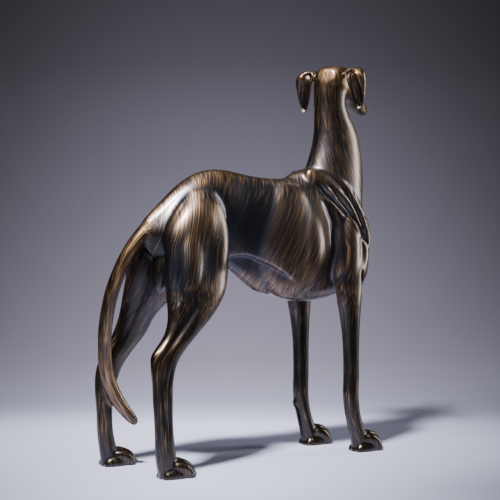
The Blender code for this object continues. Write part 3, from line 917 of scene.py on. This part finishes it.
    def press_all(self, points: np.ndarray, normals: np.ndarray) -> None:
        """Presses every crease into both sides of the dog.

        Args:
            points: The points of the skin, which are moved.
            normals: Their normals.
        """
        for hand in BOTH_HANDS:
            leg, other = FORELEGS[hand], FORELEGS[Hand.RIGHT]
            for crease in self.body:
                line = tuple(
                    (x + (leg.ahead(z) - other.ahead(z)) * (x > self.shoulder_from), z)
                    for x, z in crease.line
                )
                self.press(points, normals, hand, crease, line, self.body_reach)
            for crease in self.hind:
                places = [HIND_LEGS[hand].place(height, along, 0) for height, along in crease.line]
                line = tuple((place.x, place.z) for place in places)
                self.press(points, normals, hand, crease, line, self.leg_reach)


# Skin: the numbers of the finished mesh

class Skin:
    """The points and normals of a mesh as arrays, with what is worked out from them."""

    def __init__(self, mesh: bpy.types.Mesh) -> None:
        """Reads the mesh's points and normals.

        Args:
            mesh: The mesh.
        """
        self.mesh = mesh
        self.points = self.read(mesh.vertices, "co")
        self.normals = self.read(mesh.vertex_normals, "vector")

    @staticmethod
    def read(rows: bpy.types.bpy_prop_collection, name: str) -> np.ndarray:
        """Reads one vector from each row of a collection of Blender's.

        Args:
            rows: The collection.
            name: The vector's name.

        Returns:
            One vector a row.
        """
        values = np.empty(len(rows) * 3, np.float32)
        rows.foreach_get(name, values)
        return values.reshape(-1, 3).astype(float)

    def write(self) -> None:
        """Puts the points back into the mesh."""
        self.mesh.vertices.foreach_set("co", self.points.ravel())
        self.mesh.update()

    def averaged(self, values: np.ndarray, passes: int) -> np.ndarray:
        """Values that are run together with those of the points beside them.

        Args:
            values: One value or one vector a point.
            passes: How often each is averaged with its neighbours.

        Returns:
            The averaged values.
        """
        ends = np.empty(len(self.mesh.edges) * 2, np.int32)
        self.mesh.edges.foreach_get("vertices", ends)
        first, second = ends.reshape(-1, 2).T
        count = len(self.mesh.vertices)
        shared = np.bincount(first, minlength=count) + np.bincount(second, minlength=count)
        columns = values.reshape(count, -1).T.copy()
        for _ in range(passes):
            for column in columns:
                total = np.bincount(first, column[second], count)
                total += np.bincount(second, column[first], count)
                column += 0.5 * (total / np.maximum(shared, 1) - column)
        return columns.T.reshape(values.shape)

    def note(self, name: str, values: np.ndarray) -> None:
        """Keeps one number or one vector a point on the mesh, for its material to read.

        Args:
            name: The name that the material knows it by.
            values: The numbers or vectors.
        """
        kind, slot = ("FLOAT_VECTOR", "vector") if values.ndim == 2 else ("FLOAT", "value")
        kept = self.mesh.attributes.new(name, kind, "POINT")
        kept.data.foreach_set(slot, values.astype(np.float32).ravel())


# Finish

def linear(hex_colour: str) -> tuple[float, float, float, float]:
    """A colour as linear light.

    Args:
        hex_colour: The colour as sRGB hex, such as #7d6044.

    Returns:
        Its red, green, blue and an alpha of 1.
    """
    shares = [int(hex_colour[k:k + 2], 16) / 255 for k in (1, 3, 5)]
    light = [c / 12.92 if c <= 0.04045 else ((c + 0.055) / 1.055) ** 2.4 for c in shares]
    return (*light, 1.0)


class Shading:
    """The node tree of one material, with short ways to add to it."""

    def __init__(self, name: str) -> None:
        """Starts a material with a Principled shader.

        Args:
            name: The material's name.
        """
        self.material = bpy.data.materials.new(name)
        self.material.use_nodes = True
        self.tree = self.material.node_tree
        self.shader = self.tree.nodes["Principled BSDF"]

    def add(
        self, kind: str, output: int | str = 0, settings: dict[str, object] | None = None,
        **inputs: object,
    ) -> bpy.types.NodeSocket:
        """Adds a node with its settings, values and links.

        Args:
            kind: The node's type, without the ShaderNode that it starts with.
            output: The output that is used, by its number or name.
            settings: Its properties.
            inputs: Its sockets by name, with _ for a space, or by _ and their number, each with
                a value or with a socket to link.

        Returns:
            The output.
        """
        node = self.tree.nodes.new(f"ShaderNode{kind}")
        for name, value in (settings or {}).items():
            setattr(node, name, value)
        for name, value in inputs.items():
            key = int(name[1:]) if name[0] == "_" else name.replace("_", " ")
            self.feed(node.inputs[key], value)
        return node.outputs[output]

    def feed(self, socket: bpy.types.NodeSocket, value: object) -> None:
        """Links a socket to another one, or sets its value.

        Args:
            socket: The socket.
            value: A value, or the socket that it is linked to.
        """
        if isinstance(value, bpy.types.NodeSocket):
            self.tree.links.new(value, socket)
        else:
            socket.default_value = value

    def set(self, **values: object) -> None:
        """Sets or links sockets of the shader, by name with _ for a space."""
        for name, value in values.items():
            self.feed(self.shader.inputs[name.replace("_", " ")], value)


@dataclass(frozen=True)
class Streaks:
    """Marks of a brush: width and length in metres, place in the noise, share of the pattern."""

    width: float
    length: float
    seed: float
    share: float


@dataclass(frozen=True)
class BrushedBronze:
    """Cast bronze, patinated blue-black, brushed back by hand with a wire brush, lacquered.

    The patina gives the eye a dark, cool ground, and browner on legs, tail and head; under the
    tail it is painted darker and warmer as shade. The brush lays bare metal in fine golden streaks
    that run with the form, most on what stands proud. The lacquer puts a second, sharper gloss
    over both.
    """

    patina: str = "#383943"
    # The warm patina is the browner patina of legs, tail and head, and also painted shade under
    # the tail.
    warm_patina_and_shade: str = "#2a2521"
    bronze: str = "#7d6044"
    pale_bronze: str = "#b1926a"
    # A wire of the brush is about 0.15 mm thick. Its marks are drawn 0.30 mm wide, twice as
    # coarse, because finer ones don't show. A few wires together leave bands of about 0.8 mm,
    # and a stroke of the whole tuft one of about 5 mm.
    fine: Streaks = Streaks(0.00030, 0.0100, 3.0, 0.32)
    broad: Streaks = Streaks(0.00080, 0.0200, 11.0, 0.50)
    tuft: Streaks = Streaks(0.0050, 0.0350, 23.0, 0.18)
    # Where the pattern begins to bare the metal, and where all of it is bare.
    bared: Pair = (0.43, 0.72)
    pale: Pair = (0.45, 0.70)
    matt_band: Pair = (0.3, 0.7)
    roughness: Pair = (0.36, 0.46)
    groove_strength: float = 0.25
    groove_depth: float = 0.00005
    lacquer: float = 0.7
    lacquer_roughness: float = 0.22
    lacquer_ior: float = 1.5

    @staticmethod
    def drawn_out(shading: Shading, marks: Streaks) -> bpy.types.NodeSocket:
        """A noise drawn out along the brush strokes.

        Args:
            shading: The material.
            marks: The size of the marks.

        Returns:
            The noise, from 0 to 1.
        """
        add = shading.add
        stroke = add("Attribute", "Vector", {"attribute_name": "stroke"})
        end_on = add("Attribute", "Fac", {"attribute_name": "end_on"})
        times = {"operation": "MULTIPLY"}
        along = add("Math", 0, times, _0=add("SeparateXYZ", 2, Vector=stroke), _1=1 / marks.length)
        values = []
        for side in (0, 1):
            part = add("SeparateXYZ", side, Vector=stroke)
            across = add("Math", 0, times, _0=part, _1=1 / marks.width)
            place = add("CombineXYZ", X=across, Y=along, Z=marks.seed)
            values.append(
                add("TexNoise", "Fac", {"noise_dimensions": "3D"}, Vector=place, Scale=1.0,
                    Detail=2.0, Roughness=0.5)
            )
        return add("Mix", 0, {"data_type": "FLOAT"}, _0=end_on, _2=values[0], _3=values[1])

    def material(self) -> bpy.types.Material:
        """Makes the material of the whole casting.

        Returns:
            The material.
        """
        shading = Shading("brushed_bronze")
        add, colour = shading.add, {"data_type": "RGBA"}
        smooth = {"interpolation_type": "SMOOTHSTEP"}
        sum_up = {"operation": "MULTIPLY_ADD"}
        broad = self.drawn_out(shading, self.broad)
        pattern = add("Attribute", "Fac", {"attribute_name": "rub"})
        for marks in (self.fine, self.broad, self.tuft):
            noise = broad if marks is self.broad else self.drawn_out(shading, marks)
            pattern = add("Math", 0, sum_up, _0=noise, _1=marks.share, _2=pattern)
        start, end = self.bared
        bare = add("MapRange", 0, smooth, Value=pattern, From_Min=start, From_Max=end)
        start, end = self.pale
        pale = add("MapRange", 0, smooth, Value=broad, From_Min=start, From_Max=end)
        # Warm patina on legs, tail and head, and painted shade under the tail.
        warmth_and_shade = add("Attribute", "Fac", {"attribute_name": "warmth_and_shade"})
        dark = add("Mix", 2, colour, _0=warmth_and_shade, _6=linear(self.patina), _7=linear(self.warm_patina_and_shade))
        gold = add("Mix", 2, colour, _0=pale, _6=linear(self.bronze), _7=linear(self.pale_bronze))
        shading.set(
            Base_Color=add("Mix", 2, colour, _0=bare, _6=dark, _7=gold),
            Roughness=add(
                "MapRange", 0, smooth, Value=broad, From_Min=self.matt_band[0],
                From_Max=self.matt_band[1], To_Min=self.roughness[0], To_Max=self.roughness[1],
            ),
            Normal=add(
                "Bump", Strength=self.groove_strength, Distance=self.groove_depth, Height=broad,
            ),
            Metallic=1.0, Coat_Weight=self.lacquer, Coat_Roughness=self.lacquer_roughness,
            Coat_IOR=self.lacquer_ior,
        )
        return shading.material


# Brushing: how the brush ran, noted on the skin for the finish

@dataclass(frozen=True)
class Brushing:
    """How the brush ran over the dog and where it bared the bronze, in shares of the height.

    A pair of numbers is where a change starts and where it ends.
    """

    tail: tuple[Row, ...]
    # Strokes follow the hind legs up to the haunch and lean forwards from there to the crown.
    leg_top: float = 0.52
    haunch: float = 0.50
    crown: float = 0.90
    haunch_lean: float = 0.30
    # Between haunch and shoulder, and up the neck, they lean forwards as well.
    body_lean: float = 0.45
    rib_height: float = 0.50
    rib_least: float = -0.08
    neck_height: float = 0.52
    haunch_ends: Pair = (0.10, 0.34)
    shoulder_starts: Pair = (0.42, 0.56)
    # They run on over the back and under the belly, but not on the legs and the neck.
    bend_height: float = 0.56
    bend_reach: float = 0.06
    above_legs: Pair = (0.36, 0.44)
    up_neck: Pair = (0.78, 0.84)
    # Distance from the tail's line, and the way along it, where strokes begin to follow it.
    beside_tail: Pair = (0.021, 0.030)
    tail_root: Pair = (0.06, 0.10)
    # How much the skin faces forwards or back, and up or down.
    end_on: Pair = (0.55, 0.75)
    level: Pair = (0.6, 0.9)
    # What stands proud of the skin round it is bared most, and the lower legs least.
    broad_passes: int = 60
    proud_passes: int = 4
    proud_height: float = 0.0020
    proud_range: Pair = (-0.35, 0.7)
    proud_rub: float = 0.09
    tail_rub: float = 0.05
    least_rub: float = 0.03
    leg_rub: float = 0.075
    leg_ends: Pair = (0.30, 0.44)
    # Places where the brush bared the bronze or missed it: x, z, reach along x and z, amount.
    rubbed: tuple[Row, ...] = (
        (0.110, 0.540, 0.080, 0.120, 0.05),
        (0.380, 0.440, 0.120, 0.060, 0.06),
        (0.260, 0.710, 0.240, 0.030, 0.06),
        (0.230, 0.570, 0.070, 0.090, -0.12),
        (0.550, 0.960, 0.080, 0.050, 0.07),
        # The next row keeps the bronze unbrushed and dark under the tail, between the thighs:
        # painted shade.
        (0.030, 0.480, 0.035, 0.060, -0.14),
        (-0.055, 0.245, 0.035, 0.045, 0.07),
        (-0.060, 0.130, 0.025, 0.070, 0.06),
        (0.560, 0.140, 0.030, 0.040, 0.04),
    )
    # Warm patina on tail and head, and painted shade, darker and warmer, under the tail.
    tail_warmth: float = 0.8
    head_warmth: float = 0.75
    head_starts: Pair = (0.74, 0.90)
    painted_shade_under_tail: Pair = (0.025, 0.50)
    painted_shade_under_tail_reach: Point = (0.05, 0.06, 0.07)

    def lean_of_legs(self, skin: Skin) -> np.ndarray:
        """How far the hind leg of its side is ahead at the height of each point.

        Args:
            skin: The skin.

        Returns:
            One length a point, 0 at the haunch.
        """
        _, y, z = skin.points.T
        leans = []
        for hand in BOTH_HANDS:
            rows = by_height(HIND_LEGS[hand].stations)
            rows = rows[rows[:, 2] < self.leg_top]
            above = rows[-1, 0] + self.haunch_lean * (self.crown - rows[-1, 2])
            levels = np.concatenate([rows[:, 2], [self.crown]])
            places = np.concatenate([rows[:, 0], [above]])
            leans.append(np.interp(z, levels, places) - np.interp(self.haunch, levels, places))
        return np.where(y > 0, leans[1], leans[0])

    def note_strokes(self, skin: Skin) -> np.ndarray:
        """Notes the way of the strokes: across them, out of the side, and along them.

        Args:
            skin: The skin.

        Returns:
            How much each point is on the tail.
        """
        x, y, z = skin.points.T
        foreleg = by_height(FORELEGS[Hand.RIGHT].stations)
        fore = np.interp(z, foreleg[:, 2], foreleg[:, 0]) - foreleg[-1, 0]
        ribs = self.body_lean * np.maximum(z - self.rib_height, self.rib_least)
        neck = self.body_lean * np.maximum(z - self.neck_height, 0)
        at_hind = 1 - eased(x, *self.haunch_ends)
        at_fore = eased(x, *self.shoulder_starts)
        across = x - at_hind * self.lean_of_legs(skin) - at_fore * (fore - neck)
        across -= (1 - at_hind - at_fore) * ribs
        bend = np.clip((z - self.bend_height) / self.bend_reach, -1, 1)
        bend *= eased(z, *self.above_legs) * (1 - eased(z, *self.up_neck))
        along = z - np.abs(y) * bend
        tail_line = [tuple(row[:3]) for row in curve_through(self.tail)]
        gap, passed, offset = distance_to_line(skin.points, tail_line)
        on_tail = (1 - eased(gap, *self.beside_tail)) * eased(passed, *self.tail_root)
        tail_across = np.where(offset[:, 0] > 0, 1, -1) * np.linalg.norm(offset[:, (0, 2)], axis=1)
        across = across * (1 - on_tail) + tail_across * on_tail
        along = along * (1 - on_tail) - passed * on_tail
        skin.note("stroke", np.stack([across, y, along], axis=1) * HEIGHT)
        return on_tail

    def mark(self, skin: Skin) -> None:
        """Notes on the skin how the brush ran over it, and where it bared the bronze.

        Args:
            skin: The skin.
        """
        x, y, z = skin.points.T
        on_tail = self.note_strokes(skin)
        ahead, aside, up = np.abs(skin.normals).T
        faces_end = eased(ahead / (ahead + aside + 1e-6), *self.end_on)
        skin.note("end_on", faces_end * (1 - eased(up, *self.level)))
        ground = skin.averaged(skin.points, self.broad_passes)
        proud = ((skin.points - ground) * skin.normals).sum(axis=1)
        proud = skin.averaged(proud, self.proud_passes)
        rub = np.clip(proud / self.proud_height, *self.proud_range) * self.proud_rub
        rub = rub + self.tail_rub * on_tail - self.least_rub
        on_legs = 1 - eased(z, *self.leg_ends)
        rub -= self.leg_rub * on_legs * (1 - on_tail)
        for middle_x, middle_z, reach_x, reach_z, amount in self.rubbed:
            away = ((x - middle_x) / reach_x) ** 2 + ((z - middle_z) / reach_z) ** 2
            rub += amount * np.exp(-away)
        skin.note("rub", rub)
        # Painted shade: the patina is painted darker and warmer under the tail, between the
        # thighs, where shade falls.
        middle_x, middle_z = self.painted_shade_under_tail
        reach_x, half_width, reach_z = self.painted_shade_under_tail_reach
        away = ((x - middle_x) / reach_x) ** 2 + ((z - middle_z) / reach_z) ** 2
        painted_shade_under_tail = np.exp(-away) * (np.abs(y) < half_width)
        on_head = self.head_warmth * eased(z, *self.head_starts)
        warmth_and_shade = [on_legs, self.tail_warmth * on_tail, on_head, painted_shade_under_tail]
        skin.note("warmth_and_shade", np.maximum.reduce(warmth_and_shade))


# The casting

@dataclass
class Casting:
    """The whole dog as one casting."""

    trunk: Trunk = field(default_factory=Trunk)
    head: Head = field(default_factory=Head)
    carving: Carving = field(default_factory=Carving)
    finish: BrushedBronze = field(default_factory=BrushedBronze)

    def body_clay(self) -> Clay:
        """Gathers the large masses, before they are pressed.

        Returns:
            The clay.
        """
        clay = Clay()
        self.trunk.add_to(clay)
        for hand in BOTH_HANDS:
            HIND_LEGS[hand].add_to(clay)
            FORELEGS[hand].add_to(clay)
        self.head.add_skull(clay)
        return clay

    def modelled(self) -> bpy.types.Mesh:
        """Presses the masses into one skin and carves it.

        Returns:
            The dog in shares of its height, with its finer forms and its creases.
        """
        body = self.body_clay().pressed("body_masses", BODY_GRAIN, BODY_BLEND)
        clay = Clay()
        clay.lump.from_mesh(body)
        self.head.add_features(clay)
        for paw in PAWS:
            paw.add_to(clay)
        mesh = clay.pressed("all_masses", SKIN_GRAIN, DETAIL_BLEND)
        skin = Skin(mesh)
        self.carving.press_all(skin.points, skin.normals)
        self.head.hollow_ears(skin.points, skin.normals)
        skin.write()
        return mesh

    @staticmethod
    def cut_soles(mesh: bpy.types.Mesh) -> None:
        """Cuts the soles flat on the ground and closes them.

        Args:
            mesh: The dog's mesh, which is changed.
        """
        dog = bmesh.new()
        dog.from_mesh(mesh)
        cut = bmesh.ops.bisect_plane(
            dog, geom=dog.verts[:] + dog.edges[:] + dog.faces[:], plane_co=(0, 0, 0),
            plane_no=(0, 0, 1), clear_inner=True,
        )
        rims = [part for part in cut["geom_cut"] if isinstance(part, bmesh.types.BMEdge)]
        bmesh.ops.edgenet_fill(dog, edges=rims)
        bmesh.ops.triangulate(dog, faces=[face for face in dog.faces if len(face.verts) > 4])
        bmesh.ops.recalc_face_normals(dog, faces=dog.faces)
        dog.to_mesh(mesh)
        dog.free()

    @staticmethod
    def thinned(mesh: bpy.types.Mesh) -> bpy.types.Mesh:
        """Thins the mesh out, least where the form turns most.

        Args:
            mesh: The mesh.

        Returns:
            A mesh with at most MOST_TRIANGLES triangles.
        """
        mesh.calc_loop_triangles()
        share = MOST_TRIANGLES / len(mesh.loop_triangles)
        if share >= 1:
            return mesh
        piece = placed("thinned", mesh)
        piece.modifiers.new("thin", "DECIMATE").ratio = share
        return settled(piece)

    @staticmethod
    def fitted(skin: Skin, low: Sequence[float], high: Sequence[float]) -> None:
        """Brings the skin from shares to metres, so that it fills the solid's box.

        Args:
            skin: The skin, whose points are moved.
            low: The lowest corner of the box.
            high: The highest corner of the box.
        """
        least, most = skin.points.min(axis=0), skin.points.max(axis=0)
        low, high = np.array(low) + CLEARANCE, np.array(high) - CLEARANCE
        low[2] = 0.0
        skin.points[:] = low + (skin.points - least) * (high - low) / (most - least)

    def build(self) -> bpy.types.Object:
        """Models, marks and dresses the casting.

        Returns:
            The piece that stands for the solid.
        """
        mesh = self.modelled()
        self.cut_soles(mesh)
        mesh = self.thinned(mesh)
        mesh.name = "greyhound_casting"
        skin = Skin(mesh)
        Brushing(self.trunk.tail).mark(skin)
        self.fitted(skin, *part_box("greyhound"))
        skin.write()
        mesh.shade_smooth()
        for edge in mesh.edges:
            edge.use_edge_sharp = all(skin.points[k][2] < CLEARANCE for k in edge.vertices)
        mesh.materials.append(self.finish.material())
        piece = placed("greyhound_casting", mesh)
        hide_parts("greyhound")
        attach(piece, "root")
        return piece


# Studio

@dataclass(frozen=True)
class Softbox:
    """A soft light: where it hangs, what it faces, its size, its power in watts and its colour."""

    name: str
    place: Point
    target: Point
    size: tuple[float, float]
    power: float
    colour: str

    def hang(self) -> None:
        """Puts the light into the scene."""
        light = bpy.data.lights.new(self.name, "AREA")
        light.shape = "RECTANGLE"
        light.size, light.size_y = self.size
        light.energy = self.power
        light.color = linear(self.colour)[:3]
        lamp = placed(self.name, light)
        lamp.location = self.place
        aim = Vector(self.target) - Vector(self.place)
        lamp.rotation_euler = aim.to_track_quat("-Z", "Y").to_euler()


@dataclass(frozen=True)
class Studio:
    """A pale floor that sweeps up into a backdrop painted darker, with a painted pool of light,
    softboxes and the camera.
    """

    eye: Point = (-0.4900, -0.7331, 0.1653)
    heading: float = math.radians(33.2)
    lens: float = 79.2
    sensor_width: float = 36.0
    floor_end: float = 0.60
    sweep_radius: float = 0.90
    # The way along the paper from where it begins to rise, the light painted on it there, which
    # grows darker up the backdrop, and how wide its painted pool of light is.
    paper: tuple[Row, ...] = (
        (-0.910, 0.300, 0.170),
        (-0.710, 0.780, 0.175),
        (-0.595, 0.820, 0.255),
        (-0.525, 0.900, 0.270),
        (-0.443, 0.978, 0.250),
        (-0.399, 0.810, 0.250),
        (-0.345, 0.599, 0.250),
        (-0.286, 0.484, 0.280),
        (-0.228, 0.454, 0.303),
        (-0.155, 0.449, 0.329),
        (0.029, 0.442, 0.389),
        (0.107, 0.392, 0.417),
        (0.242, 0.359, 0.439),
        (0.366, 0.332, 0.456),
        (0.456, 0.315, 0.467),
        (0.554, 0.291, 0.480),
        (0.646, 0.266, 0.491),
        (0.732, 0.239, 0.502),
        (0.828, 0.206, 0.515),
        (0.908, 0.179, 0.526),
        (0.984, 0.147, 0.535),
        (1.059, 0.111, 0.542),
        (1.131, 0.093, 0.548),
        (1.237, 0.072, 0.554),
    )
    # The least painted light on the paper, and how far the painted pool of light lies to the side.
    least_painted_light: float = 0.02
    painted_pool_side: float = -0.040
    # The way along the paper where its tint begins to turn, and how far it is in turning.
    tint_starts: float = -0.31
    tint_reach: float = 0.49
    paper_roughness: float = 0.9
    # Size and number of the paper's faces along the floor, up the curve and the wall, and to
    # each side, and how far it reaches towards the camera, up and aside.
    floor_step: float = 0.02
    floor_steps: int = 50
    curve_steps: int = 72
    wall_step: float = 0.05
    wall_steps: int = 12
    side_step: float = 0.04
    side_steps: int = 30
    near_end: float = -3.0
    far_end: float = 5.0
    floor_tint: str = "#ced4fa"
    back_tint: str = "#dad7fa"
    room_colour: str = "#9b9796"
    room_strength: float = 0.08
    lights: tuple[Softbox, ...] = (
        Softbox("key", (-0.538, -0.338, 1.250), (0.0, 0.0, 0.12), (0.14, 0.14), 56.0, "#fffaf5"),
        Softbox("side", (1.020, -0.260, 0.420), (0.05, 0.0, 0.20), (0.30, 0.76), 8.0, "#f6f2ee"),
        Softbox("top", (0.100, 0.250, 1.200), (0.0, 0.0, 0.15), (0.90, 0.60), 0.8, "#f6f2ee"),
    )

    def painted_light_on_paper(self, way: float, side: float) -> float:
        """How light the paper is painted: the room's light and shade are painted into its colour.

        Args:
            way: The way along the paper from where it begins to rise.
            side: The place to the right of the camera's line of sight.

        Returns:
            The painted tone as a share of white: a painted pool of light, darker up the backdrop.
        """
        ways, painted_tones, widths = zip(*self.paper)
        painted_tone, width = np.interp(way, ways, painted_tones), np.interp(way, ways, widths)
        painted_pool = math.exp(-(((side - self.painted_pool_side) / width) ** 2))
        return max(float(painted_tone * painted_pool), self.least_painted_light)

    def paper_ways(self) -> list[float]:
        """Where the paper has its rows of points.

        Returns:
            Their ways along the paper from where it begins to rise.
        """
        rise = self.sweep_radius * math.pi / 2
        on_floor = [self.floor_step * k for k in range(-self.floor_steps, 0)]
        on_curve = [rise * k / self.curve_steps for k in range(self.curve_steps + 1)]
        on_wall = [rise + self.wall_step * k for k in range(1, self.wall_steps)]
        return [self.near_end, *on_floor, *on_curve, *on_wall, rise + self.far_end]

    def set_floor(self) -> None:
        """Lays the floor and its upswept back, square to the camera's heading."""
        ahead = Vector((math.sin(self.heading), math.cos(self.heading), 0))
        right = Vector((ahead.y, -ahead.x, 0))
        radius, rise = self.sweep_radius, self.sweep_radius * math.pi / 2
        ways, profile = self.paper_ways(), []
        for way in ways:
            turn = min(max(way, 0) / radius, math.pi / 2)
            out = self.floor_end + min(way, 0) + radius * math.sin(turn)
            profile.append((out, radius * (1 - math.cos(turn)) + max(way - rise, 0)))
        near_sides = (self.side_step * k for k in range(-self.side_steps, self.side_steps + 1))
        sides = [-self.far_end, *near_sides, self.far_end]
        sweep = bmesh.new()
        rows = [
            [sweep.verts.new(right * side + ahead * out + Vector((0, 0, up))) for side in sides]
            for out, up in profile
        ]
        for near, far in zip(rows, rows[1:]):
            for k in range(len(sides) - 1):
                sweep.faces.new((near[k], near[k + 1], far[k + 1], far[k]))
        mesh = bpy.data.meshes.new("studio_sweep")
        sweep.to_mesh(mesh)
        sweep.free()
        mesh.shade_smooth()
        floor, back = (np.array(linear(tint)[:3]) for tint in (self.floor_tint, self.back_tint))
        # Painted light: each point's colour carries the painted pool of light and the darkening up
        # the backdrop.
        painted_tones = []
        for way in ways:
            turned = min(max(way - self.tint_starts, 0) / self.tint_reach, 1.0)
            tint = floor + (back - floor) * turned
            painted_tones += [self.painted_light_on_paper(way, side) * tint for side in sides]
        kept = mesh.attributes.new("painted_tone", "FLOAT_VECTOR", "POINT")
        kept.data.foreach_set("vector", np.array(painted_tones, np.float32).ravel())
        # Matt studio paper, pressed smooth, with its pool of light and its darkening up the
        # backdrop painted into its colour, and no gloss.
        shading = Shading("studio_paper")
        painted_tone = shading.add("Attribute", "Vector", {"attribute_name": "painted_tone"})
        shading.set(Base_Color=painted_tone, Roughness=self.paper_roughness)
        mesh.materials.append(shading.material)
        placed("studio_sweep", mesh)

    def set_world(self) -> None:
        """Fills the room with a little even light."""
        world = bpy.data.worlds.new("room")
        world.use_nodes = True
        fill = world.node_tree.nodes["Background"]
        fill.inputs["Color"].default_value = linear(self.room_colour)
        fill.inputs["Strength"].default_value = self.room_strength
        bpy.context.scene.world = world

    def set_camera(self) -> None:
        """Places the camera where the photographer's was."""
        camera = bpy.data.cameras.new("camera")
        camera.lens = self.lens
        camera.sensor_width = self.sensor_width
        stand = placed("camera", camera)
        stand.location = self.eye
        stand.rotation_euler = (math.pi / 2, 0.0, -self.heading)
        bpy.context.scene.camera = stand

    def set_up(self) -> None:
        """Sets up floor, lights, room and camera."""
        self.set_floor()
        self.set_world()
        self.set_camera()
        for light in self.lights:
            light.hang()


def main() -> None:
    """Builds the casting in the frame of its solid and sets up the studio."""
    logging.basicConfig(level=logging.INFO, format="%(name)s: %(message)s")
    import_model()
    Studio().set_up()
    piece = Casting().build()
    log.info("%s: %d points", piece.name, len(piece.data.vertices))


if __name__ == "__main__":
    main()
